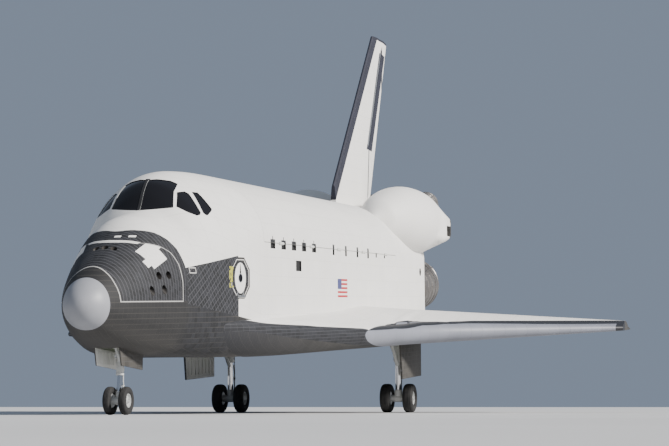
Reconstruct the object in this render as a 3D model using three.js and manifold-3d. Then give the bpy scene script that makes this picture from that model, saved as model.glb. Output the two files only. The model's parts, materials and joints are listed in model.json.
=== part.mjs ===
// A space shuttle orbiter at full size, parked on its landing gear, as an assembly of separate named pieces.
// Millimetres, +X towards the nose, +Y to port, +Z up, with the floor at z = 0.
// The airframe is drawn in its own axes: station is the distance aft of the nose tip, y is to port,
// and z is above the centreline of the payload bay. It is then set down nose low, as it parks.

import * as THREE from "three";
import { mergeVertices } from "three/addons/utils/BufferGeometryUtils.js";
import Module from "manifold-3d";

const wasm = await Module();
wasm.setup();

// Clearances
const touch = 0.3; // between pieces that rest against each other
const seam = 8; // half the gap along the payload bay doors
const flapGap = 20; // round the nose and the ends of a control surface

// Body
const noseZ = -1575;
const capEnd = 610;
const bayStart = 8738;
const bayEnd = 27153;
const baseStation = 32766;
const bodyHalfWidth = 2640;
const sillZ = 356;
const crownZ = 2590;
const bellyZ = -3251;
const doorThickness = 150;
const bayHalfWidth = 2360;
const bayFloorZ = -2250;
const bayChamfer = 450;

// Wing
const wingTipY = 11895;
const wingRootY = 2100;
const hingeStation = 29185;
// Corners of the leading edge in plan, as (station, y).
const gloveStart = [6000, 2200];
const gloveBend = [8300, 3044];
const gloveKink = [20244, 5055];
const tipEdge = [27076, wingTipY];
const trailingInner = [32182, 2921];
const trailingOuter = [30582, wingTipY];
const wingRise = Math.tan(THREE.MathUtils.degToRad(2.6));
// Depth of the wing just behind its leading edge: y, depth. The glove is deep where it leaves the body.
const edgeTable = [[wingRootY, 1360], [4200, 760], [5055, 800], [wingTipY + 100, 200]];
const gloveSlope = 0.12; // rise of the glove's top towards the body
const edgeFullness = 1.3; // how far back the rounding of the edge runs, as a share of half its depth

// Fin
const finBaseZ = 2300;
const finRootZ = 2616;
const finTipZ = 10635;
const finRootStation = 26467;
const finRootChord = 6820;
const finFront = bayEnd + 60;
const finHingeShare = 0.62;
const finTrailingSlope = Math.tan(THREE.MathUtils.degToRad(26.25));
// What the fin leaves free over the upper engine, as (station, z).
const finUndercut = [[baseStation, 2000], [36000, 2000], [36000, 4550], [baseStation, 2620]];
const rudderBottomZ = 5350;
const rudderTopZ = 10080;

// Landing gear
const pitch = THREE.MathUtils.degToRad(3.2);
const mainStation = 23724;
const mainY = 3454;
const mainGroundZ = -5893;
const noseStation = 2900;
// Tyre radius and width, rim radius, offset of each wheel from the middle of its pair, axle radius.
const mainWheel = { radius: 565, width: 406, rim: 267, gap: 450, shaft: 75 };
const noseWheel = { radius: 406, width: 224, rim: 203, gap: 240, shaft: 48 };
const beadShare = 0.72; // width across the rim, of the tyre's width
const tyreSides = 24;
const legSplit = -3900; // where the main leg's piston leaves its barrel

// Body outline: station, half width, height of the widest line, top, bottom, and how square the
// arch above the widest line and the bowl below it are (2 is an ellipse).
const bodyColumns = ["station", "width", "side", "top", "bottom", "arch", "bowl"];
const bodyTable = [
  [0, 12, noseZ, noseZ + 12, noseZ - 12, 2, 2],
  [50, 235, noseZ, -1340, -1810, 2, 2],
  [170, 425, noseZ, -1145, -2000, 2, 2],
  [360, 590, noseZ, -960, -2155, 2, 2],
  [capEnd, 700, noseZ, -820, -2270, 2, 2.1],
  [1194, 990, -1560, -420, -2540, 2, 2.3],
  [2083, 1310, -1450, 100, -2810, 2, 2.7],
  [3099, 1600, -1250, 690, -2980, 2, 3.4],
  [3600, 1725, -1100, 975, -3030, 1.95, 4],
  [4140, 1855, -900, 1095, -3075, 1.9, 4.6],
  [4650, 1965, -700, 1255, -3105, 1.75, 5.2],
  [5000, 2040, -550, 1790, -3125, 1.68, 5.6],
  [5400, 2110, -400, 2175, -3145, 1.76, 6],
  [6350, 2290, -50, 2475, -3190, 1.9, 7.5],
  [7500, 2480, 200, 2575, -3225, 2, 9],
  [bayStart, bodyHalfWidth, sillZ, crownZ, bellyZ, 2, 11],
  [bayEnd, bodyHalfWidth, sillZ, crownZ, bellyZ, 2, 11],
  [29500, bodyHalfWidth, sillZ, 2590, bellyZ, 2, 11],
  [31200, bodyHalfWidth, sillZ, 2590, bellyZ, 2, 11],
  [baseStation, bodyHalfWidth, sillZ, 2580, -3180, 2, 11],
];

// Windows on the port side, each as an outline (across, height) seen squarely from the port bow, and
// the reach of its opening along that line of sight.
const windowAzimuth = THREE.MathUtils.degToRad(45);
const windowTable = {
  front: {
    reach: [-4400, -2650],
    outline: [
      [3040, 1205], [3575, 1239], [4201, 1293], [4325, 1650], [4395, 1806], [4673, 2058], [4494, 2156],
      [4102, 2206], [3650, 2165],
    ],
  },
  side: {
    reach: [-3650, -2500],
    outline: [
      [4301, 1323], [4605, 1159], [4907, 1054], [5033, 1084], [5091, 1155], [4893, 1747], [4767, 1815],
      [4477, 1778],
    ],
  },
  aft: {
    reach: [-3700, -2600],
    outline: [
      [5178, 1155], [5264, 1085], [5352, 1082], [5562, 1233], [5595, 1287], [5334, 1693], [5253, 1796],
      [5031, 1812],
    ],
  },
};
const centrePost = 45; // half the width of the post between the two sides
const paneSeat = 55; // depth of a pane's face below the skin
const paneBack = 150;

// Orbital manoeuvring pod on the port shoulder: station, y and z of its middle, half width, half height.
const podColumns = ["station", "y", "z", "width", "height"];
const podTable = [
  [27260, 1650, 1900, 250, 250],
  [27700, 1750, 1950, 750, 720],
  [28500, 1880, 2000, 1120, 1050],
  [29600, 1980, 2000, 1380, 1330],
  [30800, 2050, 1980, 1520, 1460],
  [31900, 2080, 1950, 1540, 1450],
  [32800, 2100, 1920, 1450, 1330],
  [33450, 2130, 1950, 1260, 1150],
];
const podSquareness = 2;
const podInnerY = 380; // beside the fin
const podRearInnerY = 1250; // beside the upper engine
// Housing of the aft thrusters: station, inner and outer y, low and high z.
const housingTable = [
  [31300, 2800, 3350, 1150, 2050],
  [32300, 2700, 3760, 1020, 2350],
  [33650, 2750, 3700, 1150, 2250],
];

// Engine nozzles: station, y and z of the gimbal, tilt up and tilt outboard in degrees.
const mainEngineTable = {
  main_engine_upper: { station: 30658, y: 0, z: 1092, up: 16, out: 0, reach: 4240 },
  main_engine_left: { station: 31246, y: 1346, z: -1458, up: 10, out: 3.5, reach: 4240 },
  main_engine_right: { station: 31246, y: -1346, z: -1458, up: 10, out: -3.5, reach: 4240 },
};
const podEngine = { station: 32512, y: 2235, z: 2337, up: 15.8, out: 6.5, reach: 1960 };
// Bell contours: distance forward of the exit, radius.
const mainBell = [[0, 1152], [600, 1070], [1300, 930], [2000, 720], [2600, 470], [2900, 260]];
const mainBellWall = 60;
const podBell = [[0, 560], [400, 470], [850, 320], [1200, 150]];
const podBellWall = 35;
const bellClearance = 0.6;
const bellSides = 20;
const podBellSides = 16;

const at = (station, y, z) => new THREE.Vector3(-station, y, z);
const mix = THREE.MathUtils.lerp;

// A row of a table between its rows, on a smooth curve through them, by column name.
function between(table, columns, station) {
  const last = table.length - 2;
  let i = table.findIndex((row, k) => k <= last && station <= table[k + 1][0]);
  if (i < 0) i = last;
  const [a, b] = [table[i], table[i + 1]];
  const [before, after] = [table[Math.max(i - 1, 0)], table[Math.min(i + 2, last + 1)]];
  const span = b[0] - a[0];
  const t = (station - a[0]) / span;
  const slope = (p, q, k) => (q[0] === p[0] ? 0 : (q[k] - p[k]) / (q[0] - p[0]));
  return Object.fromEntries(
    columns.map((name, k) => {
      const chord = slope(a, b, k);
      const flat = (s) => (s * chord <= 0 ? 0 : s);
      const start = flat(slope(before, b, k)) * span;
      const end = flat(slope(a, after, k)) * span;
      const value =
        (2 * t ** 3 - 3 * t ** 2 + 1) * a[k] + (t ** 3 - 2 * t ** 2 + t) * start +
        (3 * t ** 2 - 2 * t ** 3) * b[k] + (t ** 3 - t ** 2) * end;
      return [name, k === 0 ? station : value];
    }),
  );
}

// Solids

function solid(geometry) {
  const bare = geometry.clone();
  bare.deleteAttribute("normal");
  bare.deleteAttribute("uv");
  const merged = mergeVertices(bare, 1e-3);
  const { array } = merged.index;
  const close = (turned) => {
    const triangles = [];
    for (let i = 0; i < array.length; i += 3) {
      const [a, b, c] = array.slice(i, i + 3);
      if (a !== b && b !== c && c !== a) triangles.push(...(turned ? [a, c, b] : [a, b, c]));
    }
    return new wasm.Manifold(
      new wasm.Mesh({
        numProp: 3,
        vertProperties: merged.attributes.position.array,
        triVerts: new Uint32Array(triangles),
      }),
    );
  };
  const made = close(false);
  return made.volume() > 0 ? made : close(true);
}

function geometryOf(made) {
  const { vertProperties, triVerts } = made.getMesh();
  const geometry = new THREE.BufferGeometry();
  geometry.setAttribute("position", new THREE.BufferAttribute(vertProperties, 3));
  geometry.setIndex(new THREE.BufferAttribute(triVerts, 1));
  geometry.computeVertexNormals();
  return geometry;
}

// A skin over rings with like point counts, closed by a flat face at each end. The second half of each
// ring is split the other way, so that rings with a mirror plane give a skin with the same one.
function loft(rings) {
  const count = rings[0].length;
  const points = rings.flat().flatMap((p) => [p.x, p.y, p.z]);
  const index = [];
  for (let r = 0; r + 1 < rings.length; r++)
    for (let k = 0; k < count; k++) {
      const [a, b] = [r * count + k, r * count + ((k + 1) % count)];
      if (2 * k < count) index.push(a, b, b + count, a, b + count, a + count);
      else index.push(a, b, a + count, b, b + count, a + count);
    }
  for (const [r, turned] of [[0, true], [rings.length - 1, false]]) {
    const ring = rings[r];
    const normal = new THREE.Vector3();
    ring.forEach((p, k) => normal.add(new THREE.Vector3().crossVectors(p, ring[(k + 1) % count])));
    const frame = new THREE.Quaternion().setFromUnitVectors(
      normal.normalize(),
      new THREE.Vector3(0, 0, 1),
    );
    const flat = ring.map((p) => {
      const q = p.clone().applyQuaternion(frame);
      return new THREE.Vector2(q.x, q.y);
    });
    for (const [a, b, c] of THREE.ShapeUtils.triangulateShape(flat, []))
      index.push(...(turned ? [a, c, b] : [a, b, c]).map((k) => k + r * count));
  }
  const geometry = new THREE.BufferGeometry();
  geometry.setAttribute("position", new THREE.Float32BufferAttribute(points, 3));
  geometry.setIndex(index);
  return solid(geometry);
}

// A block between two corners, each given as station, y, z.
function block(from, to) {
  const [a, b] = [at(...from), at(...to)];
  const size = new THREE.Vector3().subVectors(b, a);
  const box = new THREE.BoxGeometry(Math.abs(size.x), Math.abs(size.y), Math.abs(size.z));
  const middle = a.add(b).multiplyScalar(0.5);
  return solid(box.translate(middle.x, middle.y, middle.z));
}

// An outline in (station, z) pushed through the body from one y to another.
function sidePrism(outline, fromY, toY) {
  return loft([fromY, toY].map((y) => outline.map(([s, z]) => at(s, y, z))));
}

// A round rod between two points, or a cone where the radii differ.
function rod(from, to, radius, endRadius = radius, sides = 12) {
  const along = new THREE.Vector3().subVectors(to, from);
  const turn = new THREE.Quaternion().setFromUnitVectors(
    new THREE.Vector3(0, 1, 0),
    along.clone().normalize(),
  );
  const round = new THREE.CylinderGeometry(endRadius, radius, along.length(), sides);
  round.applyQuaternion(turn);
  const middle = from.clone().add(to).multiplyScalar(0.5);
  return solid(round.translate(middle.x, middle.y, middle.z));
}

// A disc about an axis, at a point, of a given thickness.
function disc(centre, axis, radius, thickness, sides = 20) {
  const half = axis.clone().multiplyScalar(thickness / 2);
  return rod(centre.clone().sub(half), centre.clone().add(half), radius, radius, sides);
}

// A turned profile of (distance along the axis, radius) points, from the axis to the axis or closed.
function turned(profile, base, axis, sides, start = 0) {
  const ends = profile[0][1] === 0 ? profile : [...profile, profile[0]];
  const points = ends.map(([along, r]) => new THREE.Vector2(r, along));
  const turn = new THREE.Quaternion().setFromUnitVectors(new THREE.Vector3(0, 1, 0), axis);
  const lathe = new THREE.LatheGeometry(points, sides, start).applyQuaternion(turn);
  return solid(lathe.translate(base.x, base.y, base.z));
}

const mirrored = (made) => made.mirror([0, 1, 0]);
const joined = (solids) => wasm.Manifold.union(solids);

// Body shell

const cornerSteps = 6;

// The points of a squared quarter circle, from its side to its end.
function quarter(squareness, steps) {
  return Array.from({ length: steps + 1 }, (_, k) => {
    const angle = (Math.PI / 2) * (k / steps);
    return [Math.cos(angle), Math.sin(angle)].map((v) => Math.max(v, 1e-12) ** (2 / squareness));
  });
}

// The body's ring at a station, drawn in by an inset on every side.
function bodyRing(station, inset = 0, steps = cornerSteps) {
  const b = between(bodyTable, bodyColumns, station);
  const [width, up, down] = [b.width - inset, b.top - b.side - inset, b.side - b.bottom - inset];
  const arch = quarter(b.arch, steps).map(([y, z]) => [width * y, b.side + up * z]);
  const bowl = quarter(b.bowl, steps).map(([y, z]) => [width * y, b.side - down * z]);
  const port = [...bowl.slice(1).reverse(), ...arch];
  const starboard = port.slice(1, -1).reverse().map(([y, z]) => [-y, z]);
  return [...port, ...starboard].map(([y, z]) => at(station, y, z));
}

const bodyLoft = (stations, inset = 0, steps = cornerSteps) =>
  loft(stations.map((s) => bodyRing(s, inset, steps)));

const noseCap = () => bodyLoft([0, 50, 170, 360, capEnd - touch]);

// The forward thruster module fills the top of the nose ahead of the windshield. Its side outline, as
// (station, z), has a level floor and leaning walls, and ends above the skin.
const moduleOutline = [
  [952, -1503], [3640, -1495], [3390, -470], [2330, 500], [2330, 1500], [1454, 1500],
];

// Stations of the rings that the body's pieces are drawn through.
const noseStations = [capEnd, 1194, 1600, 2083, 2600, 3099, 3600];
const cabinStations = [3870, 4140, 4400, 4650, 4820, 5000, 5200, 5400, 5850, 6350, 7500];
const aftStations = [bayEnd, 29500, 31200, baseStation];

function thrusterModule() {
  return bodyLoft(noseStations).intersect(sidePrism(drawnIn(moduleOutline, touch), -3000, 3000));
}

const cabinShell = 230;
const cabinStart = 3900;
const cabinEnd = 8450;
const cabinFloorZ = -2050;

function cabinSpace() {
  const stations = [cabinStart, 4400, 4650, 5000, 5400, 6350, 7500, cabinEnd];
  const above = block([cabinStart - 100, -3000, cabinFloorZ], [cabinEnd + 100, 3000, 3000]);
  return bodyLoft(stations, cabinShell, 5).intersect(above);
}

// The layer of the shell that a window pane fills.
function paneLayer() {
  const stations = [3600, ...cabinStations];
  return bodyLoft(stations, paneSeat).subtract(bodyLoft(stations, paneBack));
}

// An outline with every side moved inwards by an inset.
function drawnIn(outline, inset) {
  const points = outline.map((p) => new THREE.Vector2(...p));
  const around = Math.sign(THREE.ShapeUtils.area(points));
  const inward = points.map((p, k) => {
    const side = points[(k + 1) % points.length].clone().sub(p).normalize();
    return new THREE.Vector2(-side.y, side.x).multiplyScalar(around);
  });
  return points.map((p, k) => {
    const [before, after] = [inward.at(k - 1), inward[k]];
    const corner = before.clone().add(after).multiplyScalar(inset / (1 + before.dot(after)));
    return p.clone().add(corner).toArray();
  });
}

function windowPrism({ reach, outline }, inset) {
  const [ahead, abeam] = [Math.cos(windowAzimuth), Math.sin(windowAzimuth)];
  const depths = [reach[0] + inset, reach[1] - inset];
  const drawn = drawnIn(outline, inset);
  const prism = loft(
    depths.map((w) => drawn.map(([u, z]) => at(u * abeam - w * ahead, u * ahead + w * abeam, z))),
  );
  return prism.intersect(block([2000, centrePost + inset, 0], [8000, 4000, 3000]));
}

// The hatch is a plug as thick as the wall, narrower inside so that it swings out past its rim.
const hatch = {
  station: 7000, z: -800, radius: 510, taper: 30 / cabinShell,
  hinge: 565, proud: 12, knuckle: 40, inner: 120, outer: 260,
  strap: { radius: 30, depth: 22 },
};

// The hatch lies in the port wall, square to it.
function hatchFrame() {
  const wall = (s) => between(bodyTable, bodyColumns, s).width;
  const along = at(hatch.station - 500, wall(hatch.station - 500), 0)
    .sub(at(hatch.station + 500, wall(hatch.station + 500), 0))
    .normalize();
  const out = new THREE.Vector3(0, 0, 1).cross(along);
  const centre = at(hatch.station, wall(hatch.station), hatch.z);
  return { along, out, centre };
}

function hatchPlug(radius, taper = 0) {
  const { out, centre } = hatchFrame();
  const [inside, outside] = [-900, 300];
  return rod(
    centre.clone().addScaledVector(out, inside), centre.clone().addScaledVector(out, outside),
    radius + taper * inside, radius + taper * outside, 24,
  );
}

// Knuckles about the hatch's hinge line: the middle one on the wall, the outer two on the hatch.
function hatchKnuckles(onHatch, grow = 0) {
  const { along, out, centre } = hatchFrame();
  const { hinge, proud, knuckle, inner, outer } = hatch;
  const line = centre.clone().add(new THREE.Vector3(0, 0, -hinge)).addScaledVector(out, proud);
  const span = (a, b) =>
    rod(
      line.clone().addScaledVector(along, a - grow),
      line.clone().addScaledVector(along, b + grow),
      knuckle + grow,
    );
  return onHatch
    ? [span(-outer, -inner - touch), span(inner + touch, outer)]
    : [span(-inner, inner)];
}

// Straps that tie the hatch to its knuckles, sunk in the wall.
function hatchStraps(grow = 0) {
  const { along, out, centre } = hatchFrame();
  const { hinge, radius, inner, outer, strap } = hatch;
  return [-1, 1].map((side) => {
    const line = centre
      .clone()
      .addScaledVector(along, (side * (inner + outer)) / 2)
      .addScaledVector(out, -strap.depth);
    const level = (z) => line.clone().add(new THREE.Vector3(0, 0, z));
    const size = strap.radius + grow;
    return rod(level(-hinge - grow), level(-radius + 80 + grow), size, size, 8);
  });
}

function crewHatch() {
  const stations = [5400, 6350, 7500, bayStart];
  const layer = bodyLoft(stations).subtract(bodyLoft(stations, cabinShell));
  const lid = layer.intersect(hatchPlug(hatch.radius, hatch.taper));
  return joined([lid, ...hatchKnuckles(true), ...hatchStraps()]);
}

const noseWell = { start: 2050, end: 3900, halfWidth: 400, roof: -2200 };

function noseWellSpace() {
  const { start, end, halfWidth, roof } = noseWell;
  return block([start, -halfWidth, -4000], [end, halfWidth, roof]);
}

function forwardFuselage() {
  let body = bodyLoft([...noseStations, ...cabinStations, bayStart - touch])
    .subtract(sidePrism(moduleOutline, -3000, 3000))
    .subtract(cabinSpace())
    .subtract(noseWellSpace())
    .subtract(hatchPlug(hatch.radius + seam))
    .subtract(joined([...hatchKnuckles(true, seam), ...hatchStraps(seam)]));
  for (const pane of Object.values(windowTable)) {
    const cut = windowPrism(pane, 0);
    body = body.subtract(cut).subtract(mirrored(cut));
  }
  return joined([body, ...hatchKnuckles(false)]);
}

function windowPane(pane) {
  return paneLayer().intersect(windowPrism(pane, touch));
}

// Payload bay

const doorKnuckle = { radius: 48, half: 130, arm: 110, clear: 8 };
const doorHinges = [1, 3, 5, 7, 9].map((k) => mix(bayStart, bayEnd, k / 10));

const sillPoint = (station) => at(station, bodyHalfWidth, sillZ);

function doorKnuckles(onDoor, grow = 0) {
  const { radius, half, arm } = doorKnuckle;
  const span = (middle, a, b) =>
    rod(sillPoint(middle + a - grow), sillPoint(middle + b + grow), radius + grow, radius + grow, 8);
  return doorHinges.flatMap((middle) =>
    onDoor
      ? [
          span(middle, -half - arm, -half - touch),
          span(middle, half + touch, half + arm),
        ]
      : [span(middle, -half, half)],
  );
}

// The U of side walls and floor that the bay doors close.
function midFuselage() {
  const start = bayStart + touch;
  const end = bayEnd - touch;
  const topZ = sillZ - seam;
  const inner = [
    [bayHalfWidth, topZ],
    [bayHalfWidth, bayFloorZ + bayChamfer],
    [bayHalfWidth - bayChamfer, bayFloorZ],
  ];
  const ring = (s) => {
    const bowl = bodyRing(s).filter((p) => p.y > 1 && p.z < topZ).map((p) => [p.y, p.z]);
    const port = [...bowl, [bodyHalfWidth, topZ], ...inner];
    const starboard = port.map(([y, z]) => [-y, z]).reverse();
    return [...port, ...starboard].map(([y, z]) => at(s, y, z));
  };
  const doors = doorKnuckles(true, doorKnuckle.clear);
  const notched = loft([ring(start), ring(end)])
    .subtract(joined(doors))
    .subtract(joined(doors.map(mirrored)));
  const sill = doorKnuckles(false);
  return joined([notched, ...sill, ...sill.map(mirrored)]);
}

const doorSteps = 8;

function payloadDoor() {
  const arc = (width, height, count) =>
    Array.from({ length: count + 1 }, (_, k) => {
      const angle = (Math.PI / 2) * (k / count);
      return [width * Math.cos(angle), sillZ + height * Math.sin(angle)];
    });
  const rise = crownZ - sillZ;
  const outer = arc(bodyHalfWidth, rise, doorSteps);
  const inner = arc(bodyHalfWidth - doorThickness, rise - doorThickness, doorSteps);
  const outline = [...outer, ...inner.reverse()];
  const blank = loft(
    [bayStart + seam, bayEnd - seam].map((s) => outline.map(([y, z]) => at(s, y, z))),
  );
  const kept = block([0, seam, sillZ + seam], [40000, 4000, 4000]);
  const sill = doorKnuckles(false, doorKnuckle.clear);
  return joined([blank.intersect(kept).subtract(joined(sill)), ...doorKnuckles(true)]);
}

const aftFuselage = () => bodyLoft(aftStations);

// The body with its clearance, to cut what stands against it.
const bodyCut = bodyLoft(
  [...cabinStations, bayStart, ...aftStations.slice(0, -1), baseStation + touch],
  -touch,
);

// Wing

// The leading edge in plan, rounded where the glove leaves the body and at the kink.
function leadingEdge() {
  const edge = new THREE.Path();
  const line = (a, b, t) => [mix(a[0], b[0], t), mix(a[1], b[1], t)];
  edge.moveTo(...gloveStart);
  edge.quadraticCurveTo(...gloveBend, ...line(gloveBend, gloveKink, 0.18));
  edge.lineTo(...line(gloveBend, gloveKink, 0.76));
  edge.quadraticCurveTo(...gloveKink, ...line(gloveKink, tipEdge, 0.22));
  edge.lineTo(...tipEdge);
  return edge.curves;
}

const edgeCurves = leadingEdge();

function edgeAt(y) {
  for (const curve of edgeCurves) {
    const [a, b] = [curve.getPoint(0), curve.getPoint(1)];
    if (y > b.y && curve !== edgeCurves.at(-1)) continue;
    let [low, high] = [0, 1];
    for (let k = 0; k < 40; k++) {
      const t = (low + high) / 2;
      if (curve.getPoint(t).y < y) low = t;
      else high = t;
    }
    const start = curve.getTangent(0);
    return y <= a.y ? a.x - (a.y - y) * (start.x / start.y) : curve.getPoint(low).x;
  }
}

const spanShare = (y) => (y - bodyHalfWidth) / (wingTipY - bodyHalfWidth);
const wingBottom = (y) => bellyZ + Math.max(0, y - bodyHalfWidth) * wingRise;
const edgeHeight = (y) => {
  const k = Math.max(1, edgeTable.findIndex(([edgeY]) => y <= edgeY));
  const [[ya, ha], [yb, hb]] = [edgeTable[k - 1], edgeTable[k]];
  return mix(ha, hb, (y - ya) / (yb - ya));
};
const deepest = (y) => mix(1480, 380, Math.max(0, spanShare(y)));
const hingeRadius = (y) => mix(285, 95, spanShare(y));
const hingeZ = (y) => bellyZ + (y - bodyHalfWidth) * wingRise + hingeRadius(y);
const trailing = (y) => {
  const [[sa, ya], [sb, yb]] = [trailingInner, trailingOuter];
  return mix(sa, sb, (y - ya) / (yb - ya));
};
// Where the thick part of the wing starts: the outer leading edge carried on inboard.
const thickStart = (y) => tipEdge[0] - (tipEdge[1] - y);

// How far the belly has risen towards the nose.
const bellyLift = (station) =>
  station < bayStart ? between(bodyTable, bodyColumns, station).bottom - bellyZ : 0;

const edgeSteps = [0, 0.06, 0.22, 0.5, 1];
const chordSteps = [0, 0.2, 0.4, 0.6, 0.8, 1];

function wingRing(y) {
  const front = edgeAt(y);
  const sweep = (edgeAt(y + 20) - edgeAt(y - 20)) / 40;
  const height = edgeHeight(y);
  const line = height * mix(0.7, 0.5, THREE.MathUtils.clamp((y - 3500) / 1600, 0, 1));
  const reach = edgeFullness * (height / 2) * Math.hypot(1, sweep);
  const rear = hingeStation - hingeRadius(y) - flapGap;
  const bottom = wingBottom(y);
  const nose = edgeSteps.map((q) => {
    const round = Math.sqrt(1 - (1 - q) ** 2);
    return [front + q * reach, bottom + line * (1 - round), bottom + line + (height - line) * round];
  });
  const start = Math.max(front + reach, thickStart(y));
  const startDepth = height + gloveSlope * Math.max(0, Math.min(gloveKink[1] - y, 1400));
  const hump = Math.max(0, deepest(y) - startDepth / 2 - hingeRadius(y));
  const chord = chordSteps.map((v) => {
    const depth = mix(startDepth, 2 * hingeRadius(y), v) + hump * Math.sin(Math.PI * v);
    return [mix(start, rear, v), bottom, bottom + depth];
  });
  const stops = [...nose, ...chord];
  const lower = stops.map(([s, low]) => at(s, y, low + bellyLift(s)));
  const upper = stops.slice(1).map(([s, , high]) => at(s, y, high + bellyLift(s)));
  return [...lower, ...upper.reverse()];
}

const wingRows = [
  wingRootY, 2450, 2640, 2900, 3150, 3410, 4200, 4600, 4900, 5300, 5800, 6500, 8000, 10000, wingTipY,
];

function wingBlank() {
  return loft(wingRows.map(wingRing));
}

// The reinforced leading edge panels: a band along the edge from before the kink to the tip.
const edgeBandStart = 4230;
const edgeBand = 560;

function edgePrism(inset) {
  const ys = [edgeBandStart + inset, 4600, 4900, 5300, 5800, 6500, wingTipY + 500];
  const ahead = ys.map((y) => [edgeAt(y) - 1500, y]);
  const behind = ys.map((y) => {
    const sweep = (edgeAt(y + 20) - edgeAt(y - 20)) / 40;
    return [edgeAt(y) + (edgeBand - inset) * Math.hypot(1, sweep), y];
  });
  const outline = [...ahead, ...behind.reverse()];
  return loft([-4500, 0].map((z) => outline.map(([s, y]) => at(s, y, z))));
}

const mainWell = { start: 20500, end: 24080, inner: 2720, outer: 4320, roof: -2300 };

function mainWellSpace() {
  const { start, end, inner, outer, roof } = mainWell;
  return block([start, inner, -4500], [end, outer, roof]);
}

const wingWhole = wingBlank();

function wing() {
  const spar = elevonNames.flatMap((name) => elevonLugs(name));
  return joined([
    wingWhole.subtract(bodyCut).subtract(edgePrism(0)).subtract(mainWellSpace()),
    ...spar,
  ]);
}

const wingEdge = () => wingWhole.intersect(edgePrism(touch));

// Elevons

const elevonTable = {
  inboard: { from: 2960, to: 7910, lugs: [0.12, 0.86] },
  outboard: { from: 7965, to: 11840, lugs: [0.14, 0.84] },
};
const elevonNames = Object.keys(elevonTable);
const lugWidth = 120;

const hingePoint = (y) => at(hingeStation, y, hingeZ(y));

function hingeAxis() {
  return hingePoint(wingTipY).sub(hingePoint(bodyHalfWidth)).normalize();
}

function elevonRing(y) {
  const [radius, middle, end] = [hingeRadius(y), hingePoint(y), trailing(y)];
  const nose = Array.from({ length: 9 }, (_, k) => {
    const angle = Math.PI * (k / 8);
    return at(hingeStation - radius * Math.sin(angle), y, middle.z + radius * Math.cos(angle));
  });
  return [...nose, at(end, y, middle.z - radius), at(end, y, middle.z - radius + 34)];
}

function lugPlaces(name) {
  const { from, to, lugs } = elevonTable[name];
  return lugs.map((share) => mix(from, to, share));
}

// A plate from the rear spar that rounds the hinge line inside a slot in the surface.
function elevonLugs(name) {
  return lugPlaces(name).map((y) => {
    const [point, radius] = [hingePoint(y), hingeRadius(y) - 8];
    const root = hingeRadius(y) + flapGap + 60;
    const square = new THREE.Quaternion().setFromUnitVectors(across, hingeAxis());
    const placed = new THREE.BoxGeometry(root, lugWidth, radius)
      .translate(root / 2, 0, 0)
      .applyQuaternion(square)
      .translate(point.x, point.y, point.z);
    return joined([disc(point, hingeAxis(), radius, lugWidth), solid(placed)]);
  });
}

function elevon(name) {
  const { from, to } = elevonTable[name];
  const slots = lugPlaces(name).map((y) =>
    disc(hingePoint(y), hingeAxis(), hingeRadius(y) + 12, lugWidth + 2 * touch, 28),
  );
  return loft([elevonRing(from), elevonRing(to)]).subtract(joined(slots));
}

// Body flap

const flap = { hinge: 32868, z: -2945, radius: 230, half: 3060, end: 34925, lugs: [-2200, 0, 2200] };
const flapLug = { width: 180, height: 240, root: baseStation - 300 };
const across = new THREE.Vector3(0, 1, 0);

function bodyFlap() {
  const { hinge, z, radius, half, end } = flap;
  const ring = (y) => [
    ...Array.from({ length: 9 }, (_, k) => {
      const angle = Math.PI * (k / 8);
      return at(hinge - radius * Math.sin(angle), y, z + radius * Math.cos(angle));
    }),
    at(end, y, z - radius + 20),
    at(end, y, z - radius + 90),
  ];
  const slots = flap.lugs.map((y) =>
    disc(at(hinge, y, z), across, radius + 12, flapLug.width + 2 * touch, 28),
  );
  return loft([ring(-half), ring(half)]).subtract(joined(slots));
}

function flapLugs() {
  const { hinge, z, radius } = flap;
  const { width, height, root } = flapLug;
  return flap.lugs.flatMap((y) => [
    disc(at(hinge, y, z), across, radius - 8, width),
    block([root, y - width / 2, z - height / 2], [hinge, y + width / 2, z + height / 2]),
  ]);
}

// The body flares out low down at its base to the width of the flap.
const skirt = { start: 31400, inner: 2300, half: 3110, low: -3170, high: -2430 };

function baseSkirt() {
  const { start, inner, half, low, high } = skirt;
  const ring = (s, width, top, bottom) =>
    [[inner, bottom], [width, bottom + 40], [width, top - 160], [inner, top]].map(([y, z]) => at(s, y, z));
  return loft([
    ring(start, bodyHalfWidth - 60, high - 300, bellyZ + 40),
    ring(baseStation, half, high, low),
  ]);
}

function aftBody() {
  const { hinge, z, radius, half } = flap;
  const channel = rod(at(hinge, -half - 30, z), at(hinge, half + 30, z), radius + 20, radius + 20, 24);
  let body = joined([aftFuselage(), baseSkirt(), mirrored(baseSkirt())]).subtract(channel);
  for (const engine of Object.values(mainEngineTable))
    body = body.subtract(bellPocket(engine, mainBell, bellSides));
  return joined([body, ...flapLugs()]);
}

// Fin and rudder

const finLeading = (z) => finRootStation + (z - finRootZ);
const finTrailing = (z) => finRootStation + finRootChord + (z - finRootZ) * finTrailingSlope;
const finHinge = (z) => mix(finLeading(z), finTrailing(z), finHingeShare);
const finHalf = (z) => mix(330, 125, (z - finRootZ) / (finTipZ - finRootZ));
const finEdgeRadius = 70;
const finTrailingHalf = 28;

function finRing(z) {
  const [front, hinge, rear, half] = [finLeading(z), finHinge(z), finTrailing(z), finHalf(z)];
  const share = [[0, 0], [35, 0.62], [120, 1], [700, 1.75]];
  const port = [
    ...share.map(([aft, k]) => [front + aft, finEdgeRadius * k]),
    [mix(front, hinge, 0.6), half * 0.82],
    [hinge, half],
    [rear, finTrailingHalf],
  ];
  const starboard = port.slice(1).reverse().map(([s, y]) => [s, -y]);
  return [...port, ...starboard].map(([s, y]) => at(s, y, z));
}

const finPoint = (z) => at(finHinge(z), 0, z);

function finAxis() {
  return finPoint(rudderTopZ).sub(finPoint(rudderBottomZ)).normalize();
}

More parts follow.
